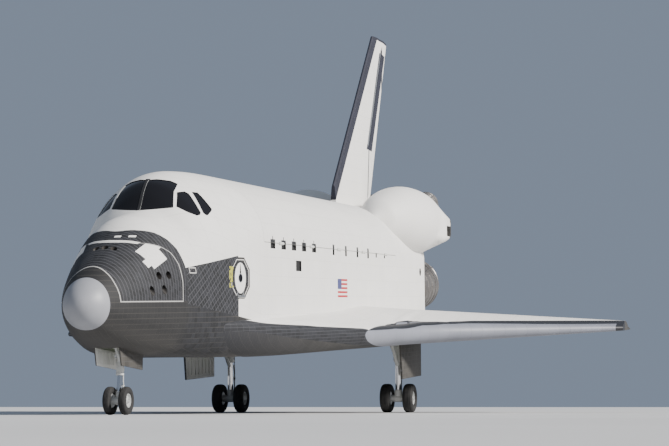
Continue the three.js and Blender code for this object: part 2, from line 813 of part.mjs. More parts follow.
// The side outline of the rudder's place: ends square to the hinge line, and a front that lies ahead
// of the hinge line by a clearance, drawn in by an inset.
function rudderOutline(ahead, inset) {
  const axis = finAxis();
  const aft = new THREE.Vector3(-axis.z, 0, axis.x);
  const corner = (z, shift, along) =>
    finPoint(z).addScaledVector(axis, shift).addScaledVector(aft, along);
  const forward = (z) => -ahead * (finHalf(z) + flapGap);
  return [
    corner(rudderBottomZ, inset, forward(rudderBottomZ)),
    corner(rudderTopZ, -inset, forward(rudderTopZ)),
    corner(rudderTopZ, -inset, 4000),
    corner(rudderBottomZ, inset, 4000),
  ].map((p) => [-p.x, p.z]);
}

const finWhole = loft([finBaseZ - 100, 4000, 7000, finTipZ].map(finRing));

function verticalFin() {
  const ahead = block([finFront - 4000, -900, 0], [finFront, 900, 6000]);
  const below = block([20000, -1500, -4000], [40000, 1500, finBaseZ]);
  const overEngine = sidePrism(finUndercut, -900, 900);
  return finWhole
    .subtract(sidePrism(rudderOutline(1, 0), -900, 900))
    .subtract(overEngine)
    .subtract(ahead)
    .subtract(bodyCut)
    .subtract(below);
}

const shaftFlange = 19.4;

// The shaft turns with the rudder and carries both of its panels, which part as a speed brake.
function rudderShaft() {
  const axis = finAxis();
  const end = (z, shift) => finPoint(z).addScaledVector(axis, shift);
  const cone = rod(
    end(rudderBottomZ, touch), end(rudderTopZ, -flapGap),
    finHalf(rudderBottomZ) - 16, finHalf(rudderTopZ) - 16, 24,
  );
  const flange = rod(
    end(rudderBottomZ, touch), end(rudderBottomZ, touch + shaftFlange),
    finHalf(rudderBottomZ) - 1, finHalf(rudderBottomZ) - 1, 24,
  );
  return joined([cone, flange]);
}

function rudderPanel() {
  const axis = finAxis();
  const outline = rudderOutline(0, touch * 2 + shaftFlange);
  const end = (z, shift) => finPoint(z).addScaledVector(axis, shift);
  const clear = rod(
    end(rudderBottomZ, -200), end(rudderTopZ, 200),
    finHalf(rudderBottomZ - 200) - 9, finHalf(rudderTopZ + 200) - 9, 32,
  );
  const port = sidePrism(outline, seam, 900);
  return finWhole.intersect(port).subtract(clear);
}

// Pods and engines

function podBlank() {
  const ring = (row) => {
    const p = Object.fromEntries(podColumns.map((name, k) => [name, row[k]]));
    const arc = quarter(podSquareness, 5);
    const half = [...arc, ...arc.slice(0, -1).map(([y, z]) => [-y, z]).reverse()];
    const low = half.slice(1, -1).map(([y, z]) => [y, -z]).reverse();
    return [...half, ...low].map(([y, z]) => at(p.station, p.y + p.width * y, p.z + p.height * z));
  };
  return loft(podTable.map(ring));
}

// The housing of the aft thrusters, low on the pod's outboard side.
function thrusterHousing() {
  const ring = ([s, inner, outer, low, high]) =>
    [
      [inner, low], [outer - 150, low], [outer, low + 150],
      [outer, high - 150], [outer - 150, high], [inner, high],
    ].map(([y, z]) => at(s, y, z));
  return loft(housingTable.map(ring));
}

function manoeuvringPod() {
  const centre = joined([
    block([26000, -3000, 0], [36000, podInnerY, 6000]),
    block([baseStation, -3000, 0], [36000, podRearInnerY, 6000]),
  ]);
  const pod = joined([podBlank(), thrusterHousing()]);
  return pod.subtract(bodyCut).subtract(centre).subtract(bellPocket(podEngine, podBell, podBellSides));
}

// The line of a nozzle: its exit and the way it points.
function nozzleLine({ station, y, z, up, out, reach }) {
  const axis = new THREE.Vector3(-1, 0, 0)
    .applyAxisAngle(new THREE.Vector3(0, 1, 0), THREE.MathUtils.degToRad(up))
    .applyAxisAngle(new THREE.Vector3(0, 0, 1), THREE.MathUtils.degToRad(-out));
  return { axis, exit: at(station, y, z).addScaledVector(axis, reach) };
}

// An open bell, closed off at its throat.
function bell(engine, contour, wall, sides) {
  const { axis, exit } = nozzleLine(engine);
  const [deep] = contour.at(-1);
  const outside = contour.map(([d, r]) => [-d, r]).reverse();
  const inside = contour.slice(0, -1).map(([d, r]) => [-d, r - wall]);
  return turned([[-deep, 0], ...outside, ...inside, [-deep + wall, 0]], exit, axis, sides);
}

// The pocket that a bell sits in.
function bellPocket(engine, contour, sides) {
  const { axis, exit } = nozzleLine(engine);
  const [deep] = contour.at(-1);
  const grown = contour.map(([d, r]) => [-d, r + bellClearance]).reverse();
  const back = -deep - touch;
  return turned([[back, 0], [back, grown[0][1]], ...grown.slice(1), [0, 0]], exit, axis, sides);
}

const mainEngine = (name) => bell(mainEngineTable[name], mainBell, mainBellWall, bellSides);
const podNozzle = () => bell(podEngine, podBell, podBellWall, podBellSides);

// Landing gear

// Height of the floor under a station, in the airframe's axes.
const floorZ = (station) => mainGroundZ + (mainStation - station) * Math.tan(pitch);
const axleZ = (station, radius) => floorZ(station) + radius / Math.cos(pitch);
const mainAxle = axleZ(mainStation, mainWheel.radius);
const noseAxle = axleZ(noseStation, noseWheel.radius);

// Every wheel is turned so that one of its flats lies on the floor.
const wheelStart = Math.PI / tyreSides - pitch;

// A tyre about the y axis at a point, with a bore for its rim.
function tyre(station, y, z, { radius, width, rim }) {
  const half = width / 2;
  const crown = radius / Math.cos(Math.PI / tyreSides);
  const side = [
    [half * beadShare, rim], [half, mix(rim, crown, 0.35)],
    [half * 0.93, mix(rim, crown, 0.78)], [half * 0.55, crown],
  ];
  const otherSide = side.map(([d, r]) => [-d, r]).reverse();
  return turned([...side, ...otherSide], at(station, y, z), across, tyreSides, wheelStart);
}

// Two rims on the axle that turns with them.
function wheelPair(station, y, z, { width, rim, gap, shaft }) {
  const bead = (width / 2) * beadShare;
  const [inner, outer] = [gap - bead, gap + bead];
  const side = [
    [inner, shaft], [inner, rim - touch], [outer, rim - touch], [outer, rim * 0.86],
    [gap + bead * 0.3, rim * 0.72], [gap + bead * 0.3, rim * 0.45], [outer, rim * 0.36], [outer, 0],
  ];
  const otherSide = side.map(([d, r]) => [-d, r]).reverse();
  return turned([...otherSide, ...side], at(station, y, z), across, tyreSides, wheelStart);
}

// The cross tube at the foot of a leg, as a solid and as its bore.
function crossTube(station, y, z, { width, gap, shaft }) {
  const end = gap - (width / 2) * beadShare - touch;
  const tube = (radius, reach, sides) =>
    rod(at(station, y - reach, z), at(station, y + reach, z), radius, radius, sides);
  return { body: tube(shaft + 60, end, 20), bore: tube(shaft + 1.2, end + 50, 24) };
}

function mainLeg() {
  const top = mainWell.roof - touch;
  const { body, bore } = crossTube(mainStation, mainY, mainAxle, mainWheel);
  const drag = { reach: 1900, foot: -4050, radius: 60 };
  const stay = { foot: -3700, radius: 55, reach: mainWell.inner + 90 };
  const pad = (station, y) => block([station - 90, y - 80, top - 130], [station + 90, y + 80, top]);
  return joined([
    rod(at(mainStation, mainY, legSplit), at(mainStation, mainY, top), 165, 165, 14),
    rod(at(mainStation, mainY, mainAxle), at(mainStation, mainY, legSplit), 115, 115, 14),
    body,
    rod(
      at(mainStation - 60, mainY, drag.foot),
      at(mainStation - drag.reach, mainY, top - 80),
      drag.radius, drag.radius, 8,
    ),
    pad(mainStation - drag.reach, mainY),
    rod(
      at(mainStation, mainY - 90, stay.foot),
      at(mainStation, stay.reach, top - 80),
      stay.radius, stay.radius, 8,
    ),
    pad(mainStation, stay.reach),
  ]).subtract(bore);
}

const gearDoor = { thickness: 90, drop: 1330 };

function mainGearDoor() {
  const { start, end, outer } = mainWell;
  const top = wingBottom(outer) + 40;
  const outline = [
    [start + 15, top], [end - 15, top], [end - 60, top - gearDoor.drop], [start + 220, top - gearDoor.drop],
  ];
  return sidePrism(outline, outer - touch - gearDoor.thickness, outer - touch);
}

function noseGearDoor() {
  const { start, end, halfWidth } = noseWell;
  const y = halfWidth - touch;
  const outline = [
    [start + 15, -2780], [end - 15, -2980], [end - 60, -3480], [start + 150, -3290],
  ];
  return sidePrism(outline, y - 50, y);
}

const noseTrunnion = { station: 3330, z: noseWell.roof - touch };

// The nose strut leans: its line runs from the trunnion down to the axle.
function strutLine() {
  const [top, foot] = [at(noseTrunnion.station, 0, noseTrunnion.z), at(noseStation, 0, noseAxle)];
  return { top, foot, along: foot.clone().sub(top).normalize(), length: foot.distanceTo(top) };
}

const strutSplit = 0.62;

function noseLeg() {
  const { top, foot } = strutLine();
  const head = top.clone().lerp(foot, -0.06);
  const split = top.clone().lerp(foot, strutSplit);
  const barrel = rod(split, head, 105, 105, 14);
  const low = block([0, -1500, -9000], [9000, 1500, noseTrunnion.z]);
  const braceTop = at(noseWell.start + 260, 0, noseWell.roof - touch - 60);
  const brace = rod(top.clone().lerp(foot, 0.5), braceTop, 48, 48, 8);
  const foothold = block(
    [noseWell.start + 150, -120, noseWell.roof - touch - 130],
    [noseWell.start + 370, 120, noseWell.roof - touch],
  );
  return joined([barrel.intersect(low), brace, foothold]);
}

// The piston that steers, with the cross tube that the axle turns in.
function noseFork() {
  const { top, foot, along } = strutLine();
  const split = top.clone().lerp(foot, strutSplit).addScaledVector(along, touch);
  const collar = split.clone().addScaledVector(along, 90);
  const { body, bore } = crossTube(noseStation, 0, noseAxle, noseWheel);
  return joined([
    rod(split, collar, 118, 118, 14),
    rod(collar, foot, 72, 72, 14),
    body,
  ]).subtract(bore);
}

// Assembly

const paint = (color, roughness, metalness = 0) =>
  new THREE.MeshStandardMaterial({ color, roughness, metalness });
const finish = {
  whiteSkin: paint(0xe9e8e4, 0.75),
  blackTile: paint(0x2c2d30, 0.85),
  carbonEdge: paint(0x8c8e93, 0.6),
  glass: paint(0x14161a, 0.15),
  bareMetal: paint(0x9a9ca0, 0.4, 0.9),
  nozzle: paint(0x6d6a68, 0.45, 0.8),
  rubber: paint(0x17181a, 0.9),
  gearPaint: paint(0xd8d9d6, 0.5),
};

const airframe = new THREE.Group();

function add(name, made, material) {
  const mesh = new THREE.Mesh(geometryOf(made), material);
  mesh.name = name;
  airframe.add(mesh);
}

// A port piece and its mirror image to starboard.
function addPair(name, made, material) {
  add(name + "_left", made, material);
  add(name + "_right", mirrored(made), material);
}

add("nose_cap", noseCap(), finish.carbonEdge);
add("forward_fuselage", forwardFuselage(), finish.whiteSkin);
add("forward_thruster_module", thrusterModule(), finish.blackTile);
for (const [name, pane] of Object.entries(windowTable))
  addPair("window_" + name, windowPane(pane), finish.glass);
add("crew_hatch", crewHatch(), finish.whiteSkin);
add("mid_fuselage", midFuselage(), finish.whiteSkin);
addPair("payload_door", payloadDoor(), finish.whiteSkin);
add("aft_fuselage", aftBody(), finish.whiteSkin);
addPair("wing", wing(), finish.blackTile);
addPair("wing_edge", wingEdge(), finish.carbonEdge);
for (const name of elevonNames) addPair("elevon_" + name, elevon(name), finish.blackTile);
add("vertical_fin", verticalFin(), finish.whiteSkin);
add("rudder_shaft", rudderShaft(), finish.bareMetal);
addPair("rudder_panel", rudderPanel(), finish.whiteSkin);
add("body_flap", bodyFlap(), finish.blackTile);
addPair("manoeuvring_pod", manoeuvringPod(), finish.whiteSkin);
addPair("pod_nozzle", podNozzle(), finish.nozzle);
for (const name of Object.keys(mainEngineTable)) add(name, mainEngine(name), finish.nozzle);
add("nose_gear_leg", noseLeg(), finish.gearPaint);
add("nose_gear_fork", noseFork(), finish.gearPaint);
add("nose_wheels", wheelPair(noseStation, 0, noseAxle, noseWheel), finish.bareMetal);
addPair("nose_tyre", tyre(noseStation, noseWheel.gap, noseAxle, noseWheel), finish.rubber);
addPair("nose_gear_door", noseGearDoor(), finish.whiteSkin);
addPair("main_gear_leg", mainLeg(), finish.gearPaint);
addPair("main_gear_door", mainGearDoor(), finish.whiteSkin);
addPair("main_wheels", wheelPair(mainStation, mainY, mainAxle, mainWheel), finish.bareMetal);
for (const [place, offset] of [["inner", -mainWheel.gap], ["outer", mainWheel.gap]])
  addPair("main_tyre_" + place, tyre(mainStation, mainY + offset, mainAxle, mainWheel), finish.rubber);

airframe.rotation.y = pitch;
airframe.updateMatrixWorld(true);
const reach = new THREE.Box3().setFromObject(airframe, true);
airframe.position.set(-(reach.min.x + reach.max.x) / 2, 0, -reach.min.z);

export default airframe;
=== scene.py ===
"""A space shuttle orbiter parked on its landing gear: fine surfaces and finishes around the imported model.

Lengths are metres. The airframe has its own axes: station is the distance aft of the nose tip, y is to
port and z is above the centreline of the payload bay. row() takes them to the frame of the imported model,
which stands nose low on its gear.
"""

import json
import math

import bmesh
import bpy
import numpy as np
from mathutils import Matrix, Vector
from mathutils.geometry import convex_hull_2d


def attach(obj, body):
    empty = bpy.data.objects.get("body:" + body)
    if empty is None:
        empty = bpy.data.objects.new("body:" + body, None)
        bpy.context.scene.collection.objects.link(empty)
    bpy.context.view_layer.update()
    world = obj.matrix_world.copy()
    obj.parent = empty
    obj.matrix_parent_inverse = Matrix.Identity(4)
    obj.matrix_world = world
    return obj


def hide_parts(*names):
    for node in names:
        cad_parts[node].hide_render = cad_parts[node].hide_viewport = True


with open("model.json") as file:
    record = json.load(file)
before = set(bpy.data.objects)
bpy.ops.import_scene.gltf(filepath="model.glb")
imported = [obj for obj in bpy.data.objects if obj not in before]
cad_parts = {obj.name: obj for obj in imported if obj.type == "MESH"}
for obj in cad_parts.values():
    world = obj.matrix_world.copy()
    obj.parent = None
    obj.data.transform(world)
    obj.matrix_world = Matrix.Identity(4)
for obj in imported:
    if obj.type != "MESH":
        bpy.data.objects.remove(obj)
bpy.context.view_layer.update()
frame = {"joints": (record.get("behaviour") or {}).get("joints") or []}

bl_info = {
    "name": "Space Shuttle Orbiter",
    "version": (1, 0, 0),
    "blender": (4, 5, 0),
    "location": "View3D > Sidebar > Orbiter",
    "description": "Builds the skin, tiles, windows, engines and landing gear of an orbiter at full size",
    "category": "Object",
}

# The airframe's place in the row frame

PITCH = math.radians(3.2)
COS, SIN = math.cos(PITCH), math.sin(PITCH)
HINGE_AT = (17.9, 2.64, 0.356)  # where the solids put the middle of the port bay door's hinge


def joint(name):
    return next(j for j in frame["joints"] if j["name"] == name)


def turned_down(point):
    """Airframe (station, y, z) turned nose low, before it is set down."""
    p = np.asarray(point, float)
    x, y, z = -p[..., 0], p[..., 1], p[..., 2]
    return np.stack([COS * x + SIN * z, y, -SIN * x + COS * z], axis=-1)


SET_DOWN = np.array(joint("payload_door_left_hinge")["pos_m"]) - turned_down(HINGE_AT)


def row(point):
    """Airframe (station, y, z) to the row frame."""
    return turned_down(point) + SET_DOWN


def airframe(point):
    """Row frame to airframe (station, y, z)."""
    p = np.asarray(point, float) - SET_DOWN
    x = COS * p[..., 0] - SIN * p[..., 2]
    z = SIN * p[..., 0] + COS * p[..., 2]
    return np.stack([-x, p[..., 1], z], axis=-1)


# Main sizes, as in the solids

TOUCH = 0.0003  # the gap between pieces that rest on each other
SEAM = 0.008
FLAP_GAP = 0.020
LUG_INSET, SLOT_GAP = 0.008, 0.012  # a lug is smaller than its surface's round nose, and a slot is larger
CAP_END = 0.610
BAY_START, BAY_END = 8.738, 27.153
BASE = 32.766
HALF_WIDTH = 2.640
SILL, CROWN, BELLY = 0.356, 2.590, -3.251
BAY_HALF, BAY_FLOOR, BAY_CHAMFER = 2.360, -2.250, 0.450
DOOR_THICKNESS = 0.150

# Body: station, half width, height of the widest line, top, bottom, squareness of the arch and the bowl.
BODY = np.array([
    [0.000, 0.012, -1.575, -1.563, -1.587, 2, 2],
    [0.050, 0.235, -1.575, -1.340, -1.810, 2, 2],
    [0.170, 0.425, -1.575, -1.145, -2.000, 2, 2],
    [0.360, 0.590, -1.575, -0.960, -2.155, 2, 2],
    [CAP_END, 0.700, -1.575, -0.820, -2.270, 2, 2.1],
    [1.194, 0.990, -1.560, -0.420, -2.540, 2, 2.3],
    [2.083, 1.310, -1.450, 0.100, -2.810, 2, 2.7],
    [3.099, 1.600, -1.250, 0.690, -2.980, 2, 3.4],
    [3.600, 1.725, -1.100, 0.975, -3.030, 1.95, 4],
    [4.140, 1.855, -0.900, 1.095, -3.075, 1.9, 4.6],
    [4.650, 1.965, -0.700, 1.255, -3.105, 1.75, 5.2],
    [5.000, 2.040, -0.550, 1.790, -3.125, 1.68, 5.6],
    [5.400, 2.110, -0.400, 2.175, -3.145, 1.76, 6],
    [6.350, 2.290, -0.050, 2.475, -3.190, 1.9, 7.5],
    [7.500, 2.480, 0.200, 2.575, -3.225, 2, 9],
    [BAY_START, HALF_WIDTH, SILL, CROWN, BELLY, 2, 11],
    [BAY_END, HALF_WIDTH, SILL, CROWN, BELLY, 2, 11],
    [29.500, HALF_WIDTH, SILL, 2.590, BELLY, 2, 11],
    [31.200, HALF_WIDTH, SILL, 2.590, BELLY, 2, 11],
    [BASE, HALF_WIDTH, SILL, 2.580, -3.180, 2, 11],
])
CABIN_SHELL = 0.230
CABIN_START, CABIN_END, CABIN_FLOOR = 3.900, 8.450, -2.050
NOSE_WELL = {"start": 2.050, "end": 3.900, "half": 0.400, "roof": -2.200}
MAIN_WELL = {"start": 20.500, "end": 24.080, "inner": 2.720, "outer": 4.320, "roof": -2.300}
# The forward thruster module's outline from the side, as (station, z).
MODULE = [[0.952, -1.503], [3.640, -1.495], [3.390, -0.470], [2.330, 0.500], [2.330, 1.500], [1.454, 1.500]]

# Windows of the port side, as outlines (across, height) seen squarely from the port bow, and how far
# the opening reaches along that line of sight.
WINDOW_AZIMUTH = math.radians(45)
WINDOWS = {
    "front": ([-4.4, -2.65], [
        [3.040, 1.205], [3.575, 1.239], [4.201, 1.293], [4.325, 1.650], [4.395, 1.806], [4.673, 2.058],
        [4.494, 2.156], [4.102, 2.206], [3.650, 2.165],
    ]),
    "side": ([-3.65, -2.5], [
        [4.301, 1.323], [4.605, 1.159], [4.907, 1.054], [5.033, 1.084], [5.091, 1.155], [4.893, 1.747],
        [4.767, 1.815], [4.477, 1.778],
    ]),
    "aft": ([-3.7, -2.6], [
        [5.178, 1.155], [5.264, 1.085], [5.352, 1.082], [5.562, 1.233], [5.595, 1.287], [5.334, 1.693],
        [5.253, 1.796], [5.031, 1.812],
    ]),
}
CENTRE_POST = 0.045
PANE_DEPTH, PANE_BACK = 0.022, 0.060

# Vents along the side: half length, low edge, high edge, top of the slot over it, stations.
VENTS = [
    (0.26, 0.17, 0.47, 0.57, (9.68, 10.90, 12.11, 13.33, 14.60)),
    (0.12, 0.14, 0.52, 0.52, (17.22, 18.99, 20.73, 22.41)),
    (0.09, 0.20, 0.38, 0.38, (23.75, 25.17)),
]
# The hatch tapers inwards; its hinge stands a little proud of the skin, below the middle.
HATCH = {"station": 7.0, "z": -0.8, "radius": 0.51, "taper": 0.13, "hinge": 0.565, "proud": 0.012}
DOOR_KNUCKLE = {"radius": 0.048, "half": 0.130, "arm": 0.110}
DOOR_HINGES = [BAY_START + (BAY_END - BAY_START) * k / 10 for k in (1, 3, 5, 7, 9)]

# Wing
WING_TIP = 11.895
HINGE_STATION = 29.185
GLOVE_START, GLOVE_BEND, GLOVE_KINK = (6.0, 2.2), (8.3, 3.044), (20.244, 5.055)
TIP_EDGE = (27.076, WING_TIP)
TRAILING = [(32.182, 2.921), (30.582, WING_TIP)]
WING_RISE = math.tan(math.radians(2.6))
EDGE_DEPTH = [(2.1, 1.36), (4.2, 0.76), (5.055, 0.80), (WING_TIP + 0.1, 0.20)]
GLOVE_SLOPE = 0.12  # how the glove thickens towards the body
EDGE_FULLNESS = 1.3  # how far the rounded edge reaches back, over half its height
EDGE_BAND_START, EDGE_BAND = 4.230, 0.560  # the edge panels' inner end, and their depth behind the edge
# Elevons: inner end, outer end, and the places of the lugs as shares of the span between them.
ELEVONS = {"inboard": (2.960, 7.910, (0.12, 0.86)), "outboard": (7.965, 11.840, (0.14, 0.84))}
LUG_WIDTH, FLAP_LUG = 0.120, 0.180
FLAP = {"hinge": 32.868, "z": -2.945, "radius": 0.230, "half": 3.060, "end": 34.925, "lugs": (-2.2, 0, 2.2)}

# Fin
FIN_ROOT, FIN_CHORD, FIN_ROOT_Z, FIN_TIP_Z = 26.467, 6.820, 2.616, 10.635
FIN_HINGE = 0.62  # the hinge line, as a share of the chord
RUDDER_BOTTOM, RUDDER_TOP = 5.350, 10.080
FIN_TRAILING_SLOPE = math.tan(math.radians(26.25))

# A pod's rows are station, y and z of its middle, half width, half height. Its round tip starts a little
# ahead of them.
POD_TIP_AHEAD, POD_TIP_LENGTH = 0.10, 0.54
POD = np.array([
    [27.26, 1.65, 1.90, 0.25, 0.25],
    [27.70, 1.75, 1.95, 0.75, 0.72],
    [28.50, 1.88, 2.00, 1.12, 1.05],
    [29.60, 1.98, 2.00, 1.38, 1.33],
    [30.80, 2.05, 1.98, 1.52, 1.46],
    [31.90, 2.08, 1.95, 1.54, 1.45],
    [32.80, 2.10, 1.92, 1.45, 1.33],
    [33.45, 2.13, 1.95, 1.26, 1.15],
])
# Housing of the aft thrusters: station, inner and outer side, low and high side.
HOUSING = [(31.3, 2.80, 3.35, 1.15, 2.05), (32.3, 2.70, 3.76, 1.02, 2.35), (33.65, 2.75, 3.70, 1.15, 2.25)]
# Engines: station, y and z of the gimbal, and the degrees that the axis points up and out.
ENGINES = {
    "main_engine_upper": (30.658, 0.0, 1.092, 16, 0),
    "main_engine_left": (31.246, 1.346, -1.458, 10, 3.5),
    "main_engine_right": (31.246, -1.346, -1.458, 10, -3.5),
}
POD_ENGINE = (32.512, 2.235, 2.337, 15.8, 6.5)
MAIN_REACH, POD_REACH = 4.240, 1.960  # from the gimbal to the exit
# Bells, as (distance ahead of the exit, radius).
MAIN_BELL = [(0, 1.152), (0.6, 1.07), (1.3, 0.93), (2.0, 0.72), (2.6, 0.47), (2.9, 0.26)]
POD_BELL = [(0, 0.56), (0.4, 0.47), (0.85, 0.32), (1.2, 0.15)]

# Landing gear
MAIN_STATION, MAIN_Y, MAIN_GROUND = 23.724, 3.454, -5.893
NOSE_STATION = 2.900
MAIN_WHEEL = {"radius": 0.565, "width": 0.406, "rim": 0.267, "gap": 0.450, "shaft": 0.075}
NOSE_WHEEL = {"radius": 0.406, "width": 0.224, "rim": 0.203, "gap": 0.240, "shaft": 0.048}
BEAD = 0.72  # a rim's width, as a share of its tyre's
LEG_SPLIT = -3.900  # where the main leg's sliding part comes out of its barrel


# Sizes and colours that a user may change


def colour(name, description, rgb):
    return bpy.props.FloatVectorProperty(
        name=name, description=description, subtype="COLOR", size=3, min=0, max=1, default=rgb,
    )


def length(name, description, default):
    return bpy.props.FloatProperty(
        name=name, description=description, subtype="DISTANCE", unit="LENGTH", min=0, default=default,
    )


class OrbiterColours(bpy.types.PropertyGroup):
    """Colours of the finishes."""

    white: colour("White skin", "White blankets and tiles of the upper surfaces", (0.83, 0.815, 0.785))
    tile: colour("Black tile", "Glazed tiles of the nose, the side and the edges", (0.0135, 0.0140, 0.0170))
    belly: colour("Belly tile", "Weathered tiles of the underside", (0.031, 0.0292, 0.0270))
    joint: colour("Tile joint", "Filler between the black tiles", (0.115, 0.117, 0.128))
    old_joint: colour("Low tile joint", "Filler low on the nose", (0.080, 0.074, 0.064))
    carbon: colour("Edge panels", "Reinforced panels of the wing's leading edge", (0.235, 0.245, 0.285))
    cap: colour("Nose cap", "Reinforced cap of the nose", (0.300, 0.305, 0.330))
    fin_band: colour("Fin band", "Dark bands of the fin", (0.016, 0.017, 0.030))
    flag_red: colour("Flag stripes", "Stripes of the plain flag", (0.45, 0.012, 0.022))
    flag_blue: colour("Flag corner", "Corner of the plain flag", (0.060, 0.065, 0.180))
    rescue: colour("Rescue marking", "Mark beside the hatch", (0.42, 0.40, 0.06))
    lining: colour("Bay lining", "White lining of the payload bay", (0.70, 0.70, 0.67))
    well: colour("Wheel wells", "Primer inside the wheel wells", (0.42, 0.46, 0.36))


class OrbiterTiles(bpy.types.PropertyGroup):
    """Sizes of the patterns on the skin."""

    tile: length("Tile", "Side of a black tile", 0.152)
    module_row: length("Module row", "Spacing of the rows round the thruster module", 0.118)
    blanket: length("Blanket", "Side of a white blanket", 0.760)
    relief: length("Relief", "Depth of the joints between tiles", 0.006)
    edge_panel: length("Edge panel", "Width of a panel of the wing's leading edge", 0.520)


class OrbiterDetails(bpy.types.PropertyGroup):
    """Numbers and sizes of repeated details."""

    ribs: bpy.props.IntProperty(name="Bay ribs", description="Frames in the payload bay", min=2, default=16)
    rib_depth: length("Rib depth", "How far a bay frame stands out of its wall", 0.055)
    bolts: bpy.props.IntProperty(name="Wheel bolts", description="Bolts round a rim", min=3, default=12)
    bell_bands: bpy.props.IntProperty(name="Bell bands", description="Bands round a main bell", default=7)


class OrbiterStage(bpy.types.PropertyGroup):
    """Camera, light and floor."""

    lens: bpy.props.FloatProperty(
        name="Lens", description="Focal length on a 36 mm sensor", subtype="DISTANCE_CAMERA", default=98.0,
    )
    azimuth: bpy.props.FloatProperty(
        name="Azimuth", description="Camera's turn from the nose to port", subtype="ANGLE",
        default=math.radians(22.95),
    )
    distance: length("Distance", "From the nose tip to the camera", 49.98)
    eye: length("Eye height", "Camera above the floor", 0.25)
    sun: bpy.props.FloatProperty(name="Key light", description="Strength of the key light", default=7.2)
    sky: bpy.props.FloatProperty(name="Fill light", description="Strength of the background", default=0.42)


GROUPS = {
    "orbiter_colours": OrbiterColours,
    "orbiter_tiles": OrbiterTiles,
    "orbiter_details": OrbiterDetails,
    "orbiter_stage": OrbiterStage,
}


def chosen(group):
    return getattr(bpy.context.scene, "orbiter_" + group)


# Curves through tables


def between(table, station):
    """A row of a table between its rows, on the same smooth curve that the solids follow."""
    last = len(table) - 2
    i = int(np.clip(np.searchsorted(table[:, 0], station) - 1, 0, last))
    a, b = table[i], table[i + 1]
    before, after = table[max(i - 1, 0)], table[min(i + 2, last + 1)]
    span = b[0] - a[0]
    t = (station - a[0]) / span
    chord = (b - a) / span
    ahead, behind = (b - before) / (b[0] - before[0]), (after - a) / (after[0] - a[0])
    start = np.where(ahead * chord <= 0, 0, ahead) * span
    end = np.where(behind * chord <= 0, 0, behind) * span
    value = (
        (2 * t**3 - 3 * t**2 + 1) * a + (t**3 - 2 * t**2 + t) * start
        + (3 * t**2 - 2 * t**3) * b + (t**3 - t**2) * end
    )
    value[0] = station
    return value


def smooth_line(points, count):
    """A table of (x, y) drawn finer on a smooth curve."""
    table = np.array(points, float)
    return [tuple(between(table, x)) for x in np.linspace(table[0, 0], table[-1, 0], count)]


ROUND_NOSE = BODY[:5].copy()
ROUND_NOSE[:, 0] = np.sqrt(ROUND_NOSE[:, 0])


def body_at(station):
    """The body's row at a station; over the nose cap it runs over the root of the station, so it is round."""
    if station >= CAP_END:
        return between(BODY, station)
    value = between(ROUND_NOSE, math.sqrt(max(station, 0)))
    value[0] = station
    return value


FINE_BODY = np.array([body_at(s) for s in np.linspace(0, BASE, 1200)])


def quarter(width, height, squareness, count):
    """Evenly spaced points of a squared quarter ellipse, from its side to its end."""
    t = np.linspace(0, math.pi / 2, 361)
    y = width * np.clip(np.cos(t), 0, 1) ** (2 / squareness)
    z = height * np.clip(np.sin(t), 0, 1) ** (2 / squareness)
    run = np.concatenate([[0], np.cumsum(np.hypot(np.diff(y), np.diff(z)))])
    want = np.linspace(0, run[-1], count + 1)
    return np.interp(want, run, y), np.interp(want, run, z)


BOWL_STEPS, ARCH_STEPS = 26, 22


def half_ring(station, inset=0.0):
    """The port half of the body's ring, from the keel over the side to the crown, as (y, z)."""
    _, width, side, top, bottom, arch_square, bowl_square = body_at(station)
    by, bz = quarter(width - inset, side - bottom - inset, bowl_square, BOWL_STEPS)
    ay, az = quarter(width - inset, top - side - inset, arch_square, ARCH_STEPS)
    y = np.concatenate([by[::-1], ay[1:]])
    z = np.concatenate([side - bz[::-1], side + az[1:]])
    return y, z


def body_ring(station, inset=0.0):
    y, z = half_ring(station, inset)
    ys = np.concatenate([y, -y[-2:0:-1]])
    zs = np.concatenate([z, z[-2:0:-1]])
    return np.stack([np.full(len(ys), station), ys, zs], axis=-1)


def body_depth(points):
    """How far inside the body's skin points of the airframe lie, roughly."""
    s, y, z = np.asarray(points, float).T
    width, side, top, bottom, arch_square, bowl_square = (
        np.interp(s, FINE_BODY[:, 0], FINE_BODY[:, k]) for k in range(1, 7)
    )
    up = z > side
    square = np.where(up, arch_square, bowl_square)
    height = np.where(up, top - side, side - bottom)
    size = (np.abs(y) / width) ** square + (np.abs(z - side) / height) ** square
    return (1 - size ** (1 / square)) * np.minimum(width, height)


# Mesh making

FAR = math.inf  # an open end of a range


def new_object(name, mesh):
    made = bpy.data.objects.new(name, mesh)
    bpy.context.scene.collection.objects.link(made)
    return made


def mesh_of(name, points, faces, uvs):
    """An object from airframe points, with a UV place for each face corner in the order of the faces."""
    mesh = bpy.data.meshes.new(name)
    mesh.from_pydata([tuple(p) for p in row(points)], [], faces)
    layer = mesh.uv_layers.new(name="tiles")
    layer.data.foreach_set("uv", np.asarray(uvs, np.float32).ravel())
    mesh.update()
    made = new_object(name, mesh)
    outward(made)
    return made


def outward(made):
    """Turns a closed mesh's faces outwards."""
    work = bmesh.new()
    work.from_mesh(made.data)
    if work.calc_volume(signed=True) < 0:
        bmesh.ops.reverse_faces(work, faces=work.faces)
        work.to_mesh(made.data)
    work.free()


